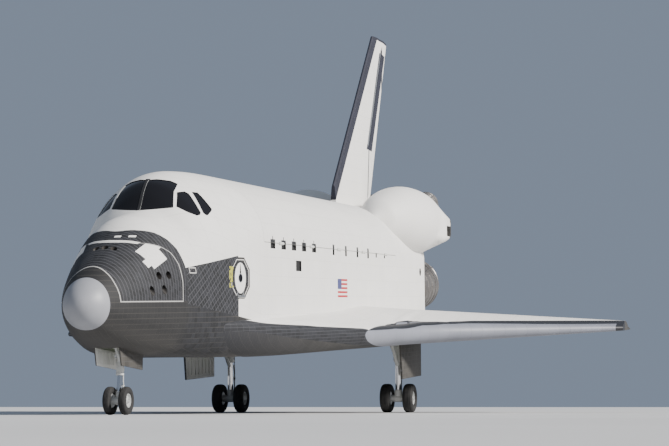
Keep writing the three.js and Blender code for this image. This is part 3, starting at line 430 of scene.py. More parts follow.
def skin(name, rings, across, runs, ends=True):
    """Faces over rings of airframe points; each ring closes on itself. A UV map comes from `across`, the
    distance round each ring, and `runs`, the distance along at each ring point."""
    count, size = rings.shape[:2]
    faces, uvs = [], []
    for r in range(count - 1):
        for k in range(size):
            n = (k + 1) % size
            faces.append((r * size + k, r * size + n, (r + 1) * size + n, (r + 1) * size + k))
            uvs += [
                (runs[r, k], across[r, k]), (runs[r, n], across[r, k + 1]),
                (runs[r + 1, n], across[r + 1, k + 1]), (runs[r + 1, k], across[r + 1, k]),
            ]
    if ends:
        for r, order in ((0, range(size - 1, -1, -1)), (count - 1, range(size))):
            faces.append(tuple(r * size + k for k in order))
            uvs += [(rings[r, k, 1], rings[r, k, 2]) for k in order]
    return mesh_of(name, rings.reshape(-1, 3), faces, uvs)


def loft(name, rings):
    """A closed skin over rings of airframe points; its UV map is metres along and metres from the keel."""
    rings = np.asarray(rings, float)
    wrapped = np.concatenate([rings, rings[:, :1]], axis=1)
    across = np.cumsum(np.linalg.norm(np.diff(wrapped, axis=1), axis=2), axis=1)
    across = np.concatenate([np.zeros((len(rings), 1)), across], axis=1)
    across = np.minimum(across, across[:, -1:] - across)
    return skin(name, rings, across, rings[:, :, 0])


def body_loft(name, stations, inset=0.0):
    return loft(name, [body_ring(s, inset) for s in stations])


def stepped(start, end, step):
    return np.linspace(start, end, max(2, round((end - start) / step) + 1))


def prism(name, outline, first, second):
    """A prism between two copies of an outline, each made by a function of its points."""
    return loft(name, [[first(p) for p in outline], [second(p) for p in outline]])


def side_prism(name, outline, from_y, to_y):
    return prism(name, outline, lambda p: (p[0], from_y, p[1]), lambda p: (p[0], to_y, p[1]))


def plan_prism(name, outline, from_z, to_z):
    return prism(name, outline, lambda p: (p[0], p[1], from_z), lambda p: (p[0], p[1], to_z))


def block(name, low, high):
    outline = [(low[1], low[2]), (high[1], low[2]), (high[1], high[2]), (low[1], high[2])]
    return prism(name, outline, lambda p: (low[0], *p), lambda p: (high[0], *p))


def unit(v):
    v = np.asarray(v, float)
    return v / np.linalg.norm(v)


def square_to(axis):
    """Two unit vectors square to an axis."""
    axis = unit(axis)
    guide = np.array([0, 0, 1.0]) if abs(axis[2]) < 0.9 else np.array([0, 1.0, 0])
    side = unit(np.cross(guide, axis))
    return side, np.cross(axis, side)


def turned(name, profile, base, axis, sides=48, closed=False):
    """A turned solid: profile points are (distance along the axis, radius) from a base point."""
    axis = unit(axis)
    u, v = square_to(axis)
    angles = np.linspace(0, 2 * math.pi, sides, endpoint=False)
    spokes = [math.cos(t) * u + math.sin(t) * v for t in angles]
    points = list(profile) + ([profile[0]] if closed else [])
    rings = np.array([[np.asarray(base) + axis * d + r * spoke for spoke in spokes] for d, r in points])
    runs = np.concatenate([[0], np.cumsum([math.dist(a, b) for a, b in zip(points, points[1:])])])
    across = np.array([[r * angles[1] * k for k in range(sides + 1)] for _, r in points])
    along = np.repeat(runs[:, None], sides, axis=1)
    made = skin(name, rings, across, along, ends=not closed)
    if closed:
        merge(made)
    return made


def merge(made):
    """Joins points that lie on one another."""
    work = bmesh.new()
    work.from_mesh(made.data)
    bmesh.ops.remove_doubles(work, verts=work.verts, dist=1e-6)
    bmesh.ops.recalc_face_normals(work, faces=work.faces)
    work.to_mesh(made.data)
    work.free()


def rod(name, start, end, radius, end_radius=None, sides=20):
    start, end = np.asarray(start, float), np.asarray(end, float)
    reach = np.linalg.norm(end - start)
    end_radius = radius if end_radius is None else end_radius
    return turned(name, [(0, radius), (reach, end_radius)], start, end - start, sides)


def tube_along(name, path, radius, sides=8):
    """A round tube along airframe points, closed at both ends."""
    path = np.asarray(path, float)
    tangents = np.gradient(path, axis=0)
    side = square_to(tangents[0])[0]
    rings = []
    for point, tangent in zip(path, tangents):
        tangent = unit(tangent)
        side = unit(side - tangent * np.dot(side, tangent))
        other = np.cross(tangent, side)
        angles = np.linspace(0, 2 * math.pi, sides, endpoint=False)
        rings.append([point + radius * (math.cos(t) * side + math.sin(t) * other) for t in angles])
    return loft(name, rings)


def flipped(mesh):
    """A mesh's mirror image on the other side of the middle plane."""
    other = mesh.copy()
    work = bmesh.new()
    work.from_mesh(other)
    for vertex in work.verts:
        vertex.co.y = -vertex.co.y
    bmesh.ops.reverse_faces(work, faces=work.faces)
    work.to_mesh(other)
    work.free()
    return other


def mirrored(made, name):
    return new_object(name, flipped(made.data))


def both(made):
    """A port piece and its mirror image."""
    return [made, mirrored(made, made.name + "_other")]


def remove(piece):
    mesh = piece.data
    bpy.data.objects.remove(piece)
    if mesh.users == 0:
        bpy.data.meshes.remove(mesh)


def joined(name, pieces):
    """Several objects as one, each keeping its own shell and its materials."""
    slots = []
    work = bmesh.new()
    for piece in pieces:
        places = []
        for material in piece.data.materials:
            if material not in slots:
                slots.append(material)
            places.append(slots.index(material))
        start = len(work.faces)
        work.from_mesh(piece.data)
        work.faces.ensure_lookup_table()
        for face in work.faces[start:]:
            face.material_index = places[face.material_index] if places else 0
    mesh = bpy.data.meshes.new(name)
    work.to_mesh(mesh)
    work.free()
    for material in slots:
        mesh.materials.append(material)
    for piece in pieces:
        remove(piece)
    return new_object(name, mesh)


def settle(piece):
    """Applies a piece's modifiers to its mesh."""
    bpy.context.view_layer.update()
    graph = bpy.context.evaluated_depsgraph_get()
    mesh = bpy.data.meshes.new_from_object(piece.evaluated_get(graph), depsgraph=graph)
    old = piece.data
    piece.modifiers.clear()
    piece.data = mesh
    if old.users == 0:
        bpy.data.meshes.remove(old)
    return piece


def carve(piece, tools, operation="DIFFERENCE"):
    """Cuts a piece by tools, or keeps what lies inside them, or adds them to it; the tools are used up."""
    for tool in tools:
        cut = piece.modifiers.new("cut", "BOOLEAN")
        cut.object = tool
        cut.operation = operation
        cut.solver = "EXACT"
    settle(piece)
    for tool in tools:
        remove(tool)
    return piece


def keep_inside(piece, tool):
    return carve(piece, [tool], "INTERSECT")


def smooth(piece, angle=32):
    """Smooth shading, with edges sharper than an angle left sharp."""
    mesh = piece.data
    mesh.polygons.foreach_set("use_smooth", [True] * len(mesh.polygons))
    mesh.set_sharp_from_angle(angle=math.radians(angle))
    mesh.update()


def softened(piece, width, segments=2, angle=40):
    """Rounds the sharp edges of a piece."""
    bevel = piece.modifiers.new("soft edges", "BEVEL")
    bevel.width = width
    bevel.segments = segments
    bevel.limit_method = "ANGLE"
    bevel.angle_limit = math.radians(angle)
    return settle(piece)


def dressed(piece, *names):
    """Gives a piece its finishes; the first one covers it until paint() is used."""
    piece.data.materials.clear()
    for name in names:
        piece.data.materials.append(finish(name))
    return piece


def placed(piece, body, replaces=(), angle=32):
    """Shades a finished piece and puts it on a body in place of nodes of the solids."""
    smooth(piece, angle)
    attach(piece, body)
    if replaces:
        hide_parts(*replaces)
    return piece


def paint(piece, index, test):
    """Gives a finish to the faces whose middles, as rows of (station, y, z), pass a test."""
    mesh = piece.data
    middles = np.zeros(len(mesh.polygons) * 3, np.float32)
    mesh.polygons.foreach_get("center", middles)
    hits = np.asarray(test(airframe(middles.reshape(-1, 3)).T), bool)
    indices = np.zeros(len(mesh.polygons), np.int32)
    mesh.polygons.foreach_get("material_index", indices)
    indices[hits] = index
    mesh.polygons.foreach_set("material_index", indices)
    mesh.update()


def region(**ranges):
    """A test for paint(): each measure given, of s, y, z, beam and depth, lies between its two limits."""
    def test(p):
        measures = {"s": p[0], "y": p[1], "z": p[2], "beam": abs(p[1])}
        if "depth" in ranges:
            measures["depth"] = body_depth(p.T)
        hits = [(measures[name] > low) & (measures[name] < high) for name, (low, high) in ranges.items()]
        return np.all(hits, axis=0)

    return test


def from_line(p, place, direction):
    """How far points lie off a line, and how far along it from a place on it."""
    away, axis = p.T - np.asarray(place), unit(direction)
    along = away @ axis
    return np.linalg.norm(away - np.outer(along, axis), axis=1), along


# Repeats, as Geometry Nodes


def repeat_tree(name, around):
    """A tree that repeats the modifier's mesh: along a line, or around an axis."""
    tree = bpy.data.node_groups.new(name, "GeometryNodeTree")
    own = [("Radius", "Float"), ("Turn", "Vector"), ("Place", "Vector")] if around else [("Step", "Vector")]
    for socket, kind in [("Geometry", "Geometry"), ("Count", "Int"), *own, ("Finish", "Material")]:
        tree.interface.new_socket(socket, in_out="INPUT", socket_type="NodeSocket" + kind)
    tree.interface.new_socket("Geometry", in_out="OUTPUT", socket_type="NodeSocketGeometry")

    def link(source, output, target, socket):
        tree.links.new(source.outputs[output], target.inputs[socket])

    given, result = tree.nodes.new("NodeGroupInput"), tree.nodes.new("NodeGroupOutput")
    points = tree.nodes.new("GeometryNodeMeshCircle" if around else "GeometryNodeMeshLine")
    spread = tree.nodes.new("GeometryNodeInstanceOnPoints")
    whole = tree.nodes.new("GeometryNodeRealizeInstances")
    coat = tree.nodes.new("GeometryNodeSetMaterial")
    link(points, "Mesh", spread, "Points")
    link(given, "Geometry", spread, "Instance")
    link(spread, "Instances", whole, "Geometry")
    if around:
        move = tree.nodes.new("GeometryNodeTransform")
        link(given, "Count", points, "Vertices")
        link(given, "Radius", points, "Radius")
        link(given, "Turn", move, "Rotation")
        link(given, "Place", move, "Translation")
        link(whole, "Geometry", move, "Geometry")
        link(move, "Geometry", coat, "Geometry")
    else:
        link(given, "Count", points, "Count")
        link(given, "Step", points, "Offset")
        link(whole, "Geometry", coat, "Geometry")
    link(given, "Finish", coat, "Material")
    link(coat, "Geometry", result, "Geometry")
    return tree


TREES = {}


def repeated(piece, around=False, **inputs):
    """The piece repeated by a tree, as a plain mesh."""
    if around not in TREES:
        TREES[around] = repeat_tree("repeat_around" if around else "repeat_along", around)
    tree = TREES[around]
    modifier = piece.modifiers.new("repeat", "NODES")
    modifier.node_group = tree
    for item in tree.interface.items_tree:
        if item.in_out == "INPUT" and item.name in inputs:
            modifier[item.identifier] = inputs[item.name]
    return settle(piece)


# Finishes

# Where the nose's black tiles end, as (|y| - z, station); and the module's seam on the same scale.
ARCH_LINE = [
    (-1.2, 2.50), (-0.5, 2.80), (0.04, 3.12), (0.44, 3.38), (0.97, 3.63), (1.48, 3.79), (2.2, 3.88),
    (5.0, 3.92),
]
MODULE_BACK = [
    (-0.6, 2.28), (-0.1, 2.31), (0.1, 2.37), (0.34, 2.50), (0.57, 2.63), (0.77, 2.86), (1.09, 3.16),
    (1.54, 3.45), (2.05, 3.60), (2.67, 3.65), (5.0, 3.66),
]
MODULE_FRONT = [(-0.5, 1.15), (0.64, 1.06), (1.14, 0.99), (1.69, 0.945), (2.38, 0.96), (4.0, 0.96)]
MODULE_FLOOR = -1.500
# The black block behind the arch: its top and foot along the body, and where it ends.
SIDE_BLOCK_TOP = [(3.0, -0.60), (3.89, -0.527), (6.866, -0.120), (8.0, -0.100)]
SIDE_BLOCK_FOOT = [(3.0, -1.50), (3.89, -1.58), (6.866, -1.97), (8.0, -2.10)]
SIDE_BLOCK_END = 6.866
# Top of the underside's black tiles along the body.
BELLY_LINE = [
    (0.0, -1.0), (3.6, -1.6), (6.59, -1.93), (7.4, -2.04), (8.46, -2.17), (12.0, -2.32), (33.0, -2.40),
]
# The dark slots behind the module's crown, as (y, station).
CROWN_SLOTS = [(0.0, 2.53), (0.25, 2.60), (0.44, 2.70), (0.62, 2.83)]
# Where the black tiles of the glove's edge end above the underside, as (station, z).
GLOVE_TILES = [
    (5.0, -2.35), (7.6, -2.47), (9.4, -2.66), (11.64, -2.83), (14.09, -3.00), (15.85, -3.10), (34.0, -3.10),
]
PATCH = {"start": 2.33, "end": 3.16, "low": 0.80, "high": 1.77, "cell": 0.17, "lean": math.radians(-13)}
HATCH_RING = {"black": 0.635, "line": 0.560, "line_width": 0.024, "white_along": 0.36, "white_up": 0.47}
FLAG = {"start": 17.725, "end": 19.138, "low": -1.373, "high": -0.705, "stripes": 9, "corner": 0.4}
POST = {"half": 0.075, "start": 4.60, "end": 5.50}
RESCUE = {"station": 6.42, "half_length": 0.13, "z": HATCH["z"] + 0.03, "half_height": 0.32, "clear": 0.50}
NEW_NOSE_END = 5.5
TILE_JOINT, BELLY_JOINT, BLANKET_SEAM = 0.008, 0.007, 0.012
GLOVE_EDGE = EDGE_BAND_START + 0.3
NEARLY_BLACK = (0.012, 0.012, 0.014)
DIAGONAL = 0.7071
SMALL_FRAME = {"station": 4.201, "z": -0.601, "half_length": 0.17, "half_height": 0.085, "line": 0.022}


class Wiring:
    """One material's nodes, wired by plain calls. Values may be numbers, colours or sockets."""

    def __init__(self, name, roughness=0.7, metallic=0.0):
        self.material = bpy.data.materials.new(name)
        self.material.use_nodes = True
        self.tree = self.material.node_tree
        self.shader = self.tree.nodes["Principled BSDF"]
        self.shader.inputs["Roughness"].default_value = roughness
        self.shader.inputs["Metallic"].default_value = metallic
        self.coords = self.tree.nodes.new("ShaderNodeTexCoord").outputs

    def feed(self, socket, value):
        if isinstance(value, bpy.types.NodeSocket):
            self.tree.links.new(value, socket)
        elif socket.type == "RGBA" and len(value) == 3:
            socket.default_value = (*value, 1)
        else:
            socket.default_value = value

    def math(self, operation, *values):
        made = self.tree.nodes.new("ShaderNodeMath")
        made.operation = operation
        for socket, value in zip(made.inputs, values):
            self.feed(socket, value)
        return made.outputs[0]

    def add(self, a, b):
        return self.math("ADD", a, b)

    def less(self, a, b):
        return self.math("SUBTRACT", a, b)

    def times(self, a, b):
        return self.math("MULTIPLY", a, b)

    def size(self, a):
        return self.math("ABSOLUTE", a)

    def over(self, a, b):
        return self.math("GREATER_THAN", a, b)

    def under(self, a, b):
        return self.math("LESS_THAN", a, b)

    def all_of(self, first, *others):
        for value in others:
            first = self.times(first, value)
        return first

    def any_of(self, first, *others):
        for value in others:
            first = self.math("MAXIMUM", first, value)
        return first

    def not_(self, a):
        return self.less(1.0, a)

    def within(self, a, low, high):
        return self.all_of(self.over(a, low), self.under(a, high))

    def near(self, a, b, reach):
        return self.under(self.size(self.less(a, b)), reach)

    def choose(self, share, a, b):
        """The number a where share is 0 and b where it is 1."""
        made = self.tree.nodes.new("ShaderNodeMix")
        made.data_type = "FLOAT"
        for socket, value in zip((made.inputs[0], made.inputs[2], made.inputs[3]), (share, a, b)):
            self.feed(socket, value)
        return made.outputs[0]

    def blend(self, share, a, b):
        """The colour a where share is 0 and b where it is 1."""
        made = self.tree.nodes.new("ShaderNodeMix")
        made.data_type = "RGBA"
        for socket, value in zip((made.inputs[0], made.inputs[6], made.inputs[7]), (share, a, b)):
            self.feed(socket, value)
        return made.outputs[2]

    def curve(self, x, points):
        """The line through points (x, y), read at x."""
        xs, ys = np.array(points).T
        scale = self.tree.nodes.new("ShaderNodeMapRange")
        self.feed(scale.inputs["Value"], x)
        scale.inputs["From Min"].default_value = xs[0]
        scale.inputs["From Max"].default_value = xs[-1]
        drawn = self.tree.nodes.new("ShaderNodeFloatCurve")
        self.feed(drawn.inputs["Value"], scale.outputs["Result"])
        line = drawn.mapping.curves[0]
        low, high = ys.min(), ys.max()
        places = list(zip((xs - xs[0]) / (xs[-1] - xs[0]), (ys - low) / (high - low)))
        while len(line.points) < len(places):
            line.points.new(0.5, 0.5)
        for point, place in zip(line.points, places):
            point.location = place
            point.handle_type = "VECTOR"
        drawn.mapping.update()
        return self.add(self.times(drawn.outputs["Value"], float(high - low)), float(low))

    def axes(self):
        """Station, y and z of the airframe at the shaded point."""
        place = self.tree.nodes.new("ShaderNodeMapping")
        place.vector_type = "TEXTURE"
        place.inputs["Location"].default_value = SET_DOWN
        place.inputs["Rotation"].default_value = (0, PITCH, 0)
        place.inputs["Scale"].default_value = (-1, 1, 1)
        self.tree.links.new(self.coords["Object"], place.inputs["Vector"])
        return self.split(place.outputs["Vector"])

    def split(self, vector):
        apart = self.tree.nodes.new("ShaderNodeSeparateXYZ")
        self.tree.links.new(vector, apart.inputs[0])
        return tuple(apart.outputs)

    def along_and_round(self):
        """Metres along a surface and metres round it, from its own UV map."""
        own = self.tree.nodes.new("ShaderNodeUVMap")
        own.uv_map = "tiles"
        return self.split(own.outputs["UV"])[:2]

    def noise(self, scale, detail=3.0, low=0.0, high=1.0):
        made = self.tree.nodes.new("ShaderNodeTexNoise")
        made.inputs["Scale"].default_value = scale
        made.inputs["Detail"].default_value = detail
        self.tree.links.new(self.coords["Object"], made.inputs["Vector"])
        spread = self.tree.nodes.new("ShaderNodeMapRange")
        self.feed(spread.inputs["Value"], made.outputs["Fac"])
        for name, value in (("From Min", 0.3), ("From Max", 0.7), ("To Min", low), ("To Max", high)):
            spread.inputs[name].default_value = value
        return spread.outputs["Result"]

    def cells(self, u, v, size_u, size_v, gap_u, gap_v):
        """Tiles over (u, v): the joints between them, and each tile's own random tone."""
        cu, cv = self.math("DIVIDE", u, size_u), self.math("DIVIDE", v, size_v)

        def joint(cell, gap, size):
            from_middle = self.size(self.less(self.math("FRACT", cell), 0.5))
            return self.over(from_middle, self.less(0.5, self.math("DIVIDE", gap, self.times(size, 2.0))))

        random = self.tree.nodes.new("ShaderNodeTexWhiteNoise")
        random.noise_dimensions = "2D"
        both = self.tree.nodes.new("ShaderNodeCombineXYZ")
        self.feed(both.inputs[0], self.math("FLOOR", cu))
        self.feed(both.inputs[1], self.math("FLOOR", cv))
        self.tree.links.new(both.outputs[0], random.inputs["Vector"])
        return self.any_of(joint(cu, gap_u, size_u), joint(cv, gap_v, size_v)), random.outputs["Value"]

    def soft(self, a, reach):
        """Rises from 0 to 1 as a goes from half a reach below zero to half a reach above it."""
        ramp = self.add(self.math("DIVIDE", a, reach), 0.5)
        return self.math("MINIMUM", self.math("MAXIMUM", ramp, 0.0), 1.0)

    def facing_up(self):
        """1 on a face that looks up, -1 on one that looks down."""
        return self.split(self.coords["Normal"])[2]

    def grooves(self, joints, depth):
        """Sinks the joints below the surface."""
        self.relief(self.less(1.0, joints), depth)

    def relief(self, height, distance, strength=0.6):
        bump = self.tree.nodes.new("ShaderNodeBump")
        bump.inputs["Strength"].default_value = strength
        bump.inputs["Distance"].default_value = distance
        self.feed(bump.inputs["Height"], height)
        self.tree.links.new(bump.outputs["Normal"], self.shader.inputs["Normal"])

    def done(self, colour):
        self.feed(self.shader.inputs["Base Color"], colour)
        return self.material


def scaled(rgb, share):
    return tuple(c * share for c in rgb)


def tiled(w, u, v, tint, size, gap, contrast=0.35):
    """Square tiles of one tint with lighter joints, as a colour and its joints."""
    joints, tone = w.cells(u, v, size, size, gap, gap)
    colours = chosen("colours")
    tile = w.blend(tone, scaled(tint, 1 - contrast), scaled(tint, 1 + contrast))
    return w.blend(w.times(joints, 0.75), tile, tuple(colours.joint)), joints


def quilted(w, u, v):
    """White blankets with fine seams, as a colour and its seams."""
    colours, sizes = chosen("colours"), chosen("tiles")
    white = tuple(colours.white)
    seams, tone = w.cells(u, v, sizes.blanket, sizes.blanket * 0.8, BLANKET_SEAM, BLANKET_SEAM)
    cloth = w.blend(tone, scaled(white, 0.965), white)
    cloth = w.blend(w.noise(0.9, 4, 0, 0.35), cloth, scaled(white, 0.90))
    return w.blend(w.times(seams, 0.35), cloth, scaled(white, 0.72)), seams


def hatch_surround(w, s, z):
    """Distances from the hatch's middle, as an eight-sided ring."""
    a, b = w.size(w.less(s, HATCH["station"])), w.size(w.less(z, HATCH["z"]))
    return w.any_of(a, b, w.times(w.add(a, b), DIAGONAL))


def module_marks(w, surface, s, y, z, drop, front, back):
    """White marks round the thruster module, and the line round it."""
    white = tuple(chosen("colours").white)
    cell, lean = PATCH["cell"], PATCH["lean"]

    def turned(a, b, angle):
        return w.add(w.times(a, math.cos(angle)), w.times(b, math.sin(angle)))

    def snapped(value):
        return w.times(w.add(w.math("FLOOR", w.math("DIVIDE", value, cell)), 0.5), cell)

    along, down = snapped(turned(s, drop, lean)), snapped(turned(drop, s, -lean))
    patch = w.all_of(
        w.within(turned(along, down, -lean), PATCH["start"], PATCH["end"]),
        w.within(turned(down, along, lean), PATCH["low"], PATCH["high"]), w.under(s, w.less(back, 0.03)),
    )
    crown_line = w.all_of(w.near(s, back, 0.065), w.under(drop, 0.60))
    slots = w.all_of(
        w.near(s, w.curve(y, CROWN_SLOTS), 0.045), w.any_of(w.near(y, 0.16, 0.09), w.near(y, 0.53, 0.09)),
    )
    marks = w.all_of(w.any_of(patch, crown_line, slots), w.over(z, -1.0))
    surface = w.blend(marks, surface, white)

    half_line = 0.016
    module_span = w.all_of(w.over(s, w.less(front, half_line)), w.under(s, w.add(back, half_line)))
    outline = w.any_of(
        w.all_of(w.any_of(w.near(s, back, half_line), w.near(s, front, half_line)), w.over(z, MODULE_FLOOR)),
        w.all_of(w.near(z, MODULE_FLOOR, half_line), module_span),
    )
    return w.blend(w.times(outline, 0.8), surface, scaled(white, 0.62))


def hatch_marks(w, surface, s, y, z, octagon):
    """A white line round the hatch, a plain mark beside it and a small frame ahead of it, to port only."""
    colours, part = chosen("colours"), SMALL_FRAME
    port = w.over(y, 0.0)
    ring_line = w.all_of(port, w.near(octagon, HATCH_RING["line"], HATCH_RING["line_width"] / 2))
    surface = w.blend(ring_line, surface, scaled(colours.white, 0.9))
    rescue = w.all_of(
        port, w.over(octagon, RESCUE["clear"]), w.near(s, RESCUE["station"], RESCUE["half_length"]),
        w.near(z, RESCUE["z"], RESCUE["half_height"]), w.over(w.noise(9.0, 1), 0.35),
    )
    surface = w.blend(rescue, surface, tuple(colours.rescue))
    across, up = w.size(w.less(s, part["station"])), w.size(w.less(z, part["z"]))
    edge = w.any_of(
        w.over(across, part["half_length"] - part["line"]), w.over(up, part["half_height"] - part["line"]),
    )
    frame_line = w.all_of(port, w.under(across, part["half_length"]), w.under(up, part["half_height"]), edge)
    return w.blend(frame_line, surface, scaled(colours.white, 0.8))


def flag_mark(w, surface, s, z):
    """A plain striped flag with a plain corner."""
    colours = chosen("colours")
    in_flag = w.all_of(w.within(s, FLAG["start"], FLAG["end"]), w.within(z, FLAG["low"], FLAG["high"]))
    down = w.math("DIVIDE", w.less(FLAG["high"], z), FLAG["high"] - FLAG["low"])
    aft = w.math("DIVIDE", w.less(s, FLAG["start"]), FLAG["end"] - FLAG["start"])
    stripe = w.under(w.math("FRACT", w.times(down, FLAG["stripes"] / 2)), 0.5)
    corner = w.all_of(w.under(aft, FLAG["corner"]), w.under(down, 5 / FLAG["stripes"]))
    cloth = w.blend(stripe, scaled(colours.white, 0.95), tuple(colours.flag_red))
    return w.blend(in_flag, surface, w.blend(corner, cloth, tuple(colours.flag_blue)))


def vent_marks(w, surface, s, z, beam):
    """Dark vents along the side, each with a slot over its middle."""
    for half, low_edge, high_edge, slot_top, stations in VENTS:
        along = w.any_of(*(w.near(s, station, half) for station in stations))
        slot = w.any_of(*(w.near(s, station, 0.04) for station in stations))
        vents = w.any_of(
            w.all_of(along, w.within(z, low_edge, high_edge)),
            w.all_of(slot, w.within(z, high_edge, slot_top)),
        )
        surface = w.blend(w.all_of(vents, w.over(beam, HALF_WIDTH - 0.1)), surface, (0.02, 0.02, 0.022))
    return surface


def body_skin():
    """The body's tiles and blankets by region, with its seams and marks."""
    colours, sizes = chosen("colours"), chosen("tiles")
    w = Wiring("body_skin", roughness=0.72)
    s, y, z = w.axes()
    u, v = w.along_and_round()
    beam = w.size(y)
    drop = w.less(w.math("SMOOTH_MAX", y, w.times(y, -1.0), 0.6), z)

    # Regions
    arch, back, front = (w.curve(drop, line) for line in (ARCH_LINE, MODULE_BACK, MODULE_FRONT))
    block_top, block_foot = w.curve(s, SIDE_BLOCK_TOP), w.curve(s, SIDE_BLOCK_FOOT)
    in_block = w.all_of(w.over(s, arch), w.under(s, SIDE_BLOCK_END), w.under(z, block_top))
    diamond = w.all_of(in_block, w.over(z, block_foot))
    octagon = hatch_surround(w, s, z)
    round_hatch = w.all_of(w.over(y, 0.0), w.under(octagon, HATCH_RING["black"]))
    black = w.any_of(w.under(s, arch), in_block, w.under(z, w.curve(s, BELLY_LINE)), round_hatch)
    rows_round = w.all_of(w.under(s, arch), w.over(z, MODULE_FLOOR), w.over(s, front))
    low = w.not_(w.any_of(rows_round, diamond))
    faces_down = w.under(w.facing_up(), -0.75)
    v = w.choose(w.all_of(low, black), v, w.choose(faces_down, z, y))

    # Tiles: rows round the module, diamonds in the block and squares low down, each with its own joints
    turned_u, turned_v = w.times(w.add(u, v), DIAGONAL), w.times(w.less(u, v), DIAGONAL)
    joints, tone = w.cells(
        w.choose(diamond, u, turned_u), w.choose(diamond, v, turned_v),
        w.choose(rows_round, sizes.tile, sizes.module_row), sizes.tile,
        w.choose(rows_round, w.choose(diamond, 0.006, 0.022), 0.020),
        w.choose(low, w.choose(diamond, 0.005, 0.022), 0.020),
    )
    belly = w.all_of(low, w.under(z, w.less(block_foot, 0.55)))
    dark = w.blend(tone, scaled(colours.tile, 0.30), scaled(colours.tile, 1.45))
    dark = w.blend(w.noise(2.2, 5, 0, 0.4), dark, scaled(colours.tile, 1.2))
    wear_and_painted_light = w.blend(tone, scaled(colours.belly, 0.85), scaled(colours.belly, 1.25))
    wear_and_painted_light = w.blend(w.noise(0.8, 4, 0, 0.4), wear_and_painted_light, scaled(colours.belly, 1.6))
    new_nose = w.soft(w.less(NEW_NOSE_END, s), 3.0)
    wear_and_painted_light = w.blend(w.times(new_nose, 0.7), wear_and_painted_light, scaled(colours.tile, 0.6))
    # Painted light: faces that look down are made lighter, standing in for light bounced up from the floor;
    # the tones above this are wear.
    underside = w.soft(w.less(-0.6, w.facing_up()), 0.5)
    wear_and_painted_light = w.blend(w.times(underside, 0.6), wear_and_painted_light, scaled(colours.belly, 2.2))
    wander = w.noise(1.3, 3, -0.35, 0.35)
    under_module = w.soft(w.less(MODULE_FLOOR, z), 0.12)
    ahead_of_arch = w.all_of(w.soft(w.add(w.less(arch, s), wander), 0.7), under_module)
    behind_block = w.all_of(w.soft(w.add(w.less(s, SIDE_BLOCK_END), wander), 1.3), w.not_(diamond))
    tile = w.blend(w.any_of(ahead_of_arch, behind_block, w.under(s, front)), dark, wear_and_painted_light)
    joint_tint = w.blend(low, tuple(colours.joint), tuple(colours.old_joint))
    low_share = w.choose(w.all_of(low, w.under(s, NEW_NOSE_END)), 0.52, 0.35)
    joint_share = w.choose(diamond, w.choose(belly, low_share, 0.25), 0.45)
    tile = w.blend(w.times(joints, joint_share), tile, joint_tint)

    white, seams = quilted(w, u, v)
    surface = module_marks(w, w.blend(black, white, tile), s, y, z, drop, front, back)
    surface = hatch_marks(w, surface, s, y, z, octagon)
    surface = flag_mark(w, surface, s, z)
    surface = vent_marks(w, surface, s, z, beam)
    post = w.all_of(w.under(beam, POST["half"]), w.within(s, POST["start"], POST["end"]), w.over(z, 0.0))
    surface = w.blend(post, surface, NEARLY_BLACK)
    w.grooves(w.blend(black, seams, joints), sizes.relief)
    return w.done(surface)


def hatch_skin():
    """The hatch's black tiles round an upright white oval."""
    colours = chosen("colours")
    w = Wiring("hatch_skin", roughness=0.72)
    s, _, z = w.axes()
    along = w.math("DIVIDE", w.less(s, HATCH["station"]), HATCH_RING["white_along"])
    up = w.math("DIVIDE", w.less(z, HATCH["z"]), HATCH_RING["white_up"])
    oval = w.under(w.add(w.times(along, along), w.times(up, up)), 1.0)
    white, seams = quilted(w, s, z)
    black, joints = tiled(w, s, z, tuple(colours.tile), chosen("tiles").tile, TILE_JOINT)
    w.grooves(w.choose(oval, joints, seams), chosen("tiles").relief)
    return w.done(w.blend(oval, black, white))


def white_skin():
    """Plain white blankets over (station, z)."""
    w = Wiring("white_skin", roughness=0.75)
    s, _, z = w.axes()
    surface, seams = quilted(w, s, z)
    w.grooves(seams, chosen("tiles").relief)
    return w.done(surface)


def smooth_white():
    """The smooth white of the pods."""
    white = tuple(chosen("colours").white)
    w = Wiring("smooth_white", roughness=0.62)
    u, v = w.along_and_round()
    seams, tone = w.cells(u, v, 1.1, 0.9, TILE_JOINT, TILE_JOINT)
    surface = w.blend(w.noise(0.7, 3, 0, 0.5), white, scaled(white, 0.93))
    surface = w.blend(w.times(seams, 0.22), surface, scaled(white, 0.78))
    w.grooves(w.times(tone, 0.2), 0.004)
    return w.done(surface)


def plain_tile(name, tint, over_y=False):
    """Square tiles over (station, y), or over (station, z) on upright faces."""
    sizes = chosen("tiles")
    w = Wiring(name, roughness=0.66)
    s, y, z = w.axes()
    surface, joints = tiled(w, s, y if over_y else z, tint, sizes.tile, TILE_JOINT, 0.3)
    surface = w.blend(w.noise(1.1, 5, 0, 0.45), surface, scaled(tint, 1.5))
    w.grooves(joints, sizes.relief)
    return w.done(surface)


def belly_tiles(w, s, y):
    """Weathered tiles of the underside, as a colour without its joints, and the joints."""
    belly, side = chosen("colours").belly, chosen("tiles").tile
    joints, tone = w.cells(s, y, side, side, BELLY_JOINT, BELLY_JOINT)
    return w.blend(tone, scaled(belly, 0.75), scaled(belly, 1.3)), joints


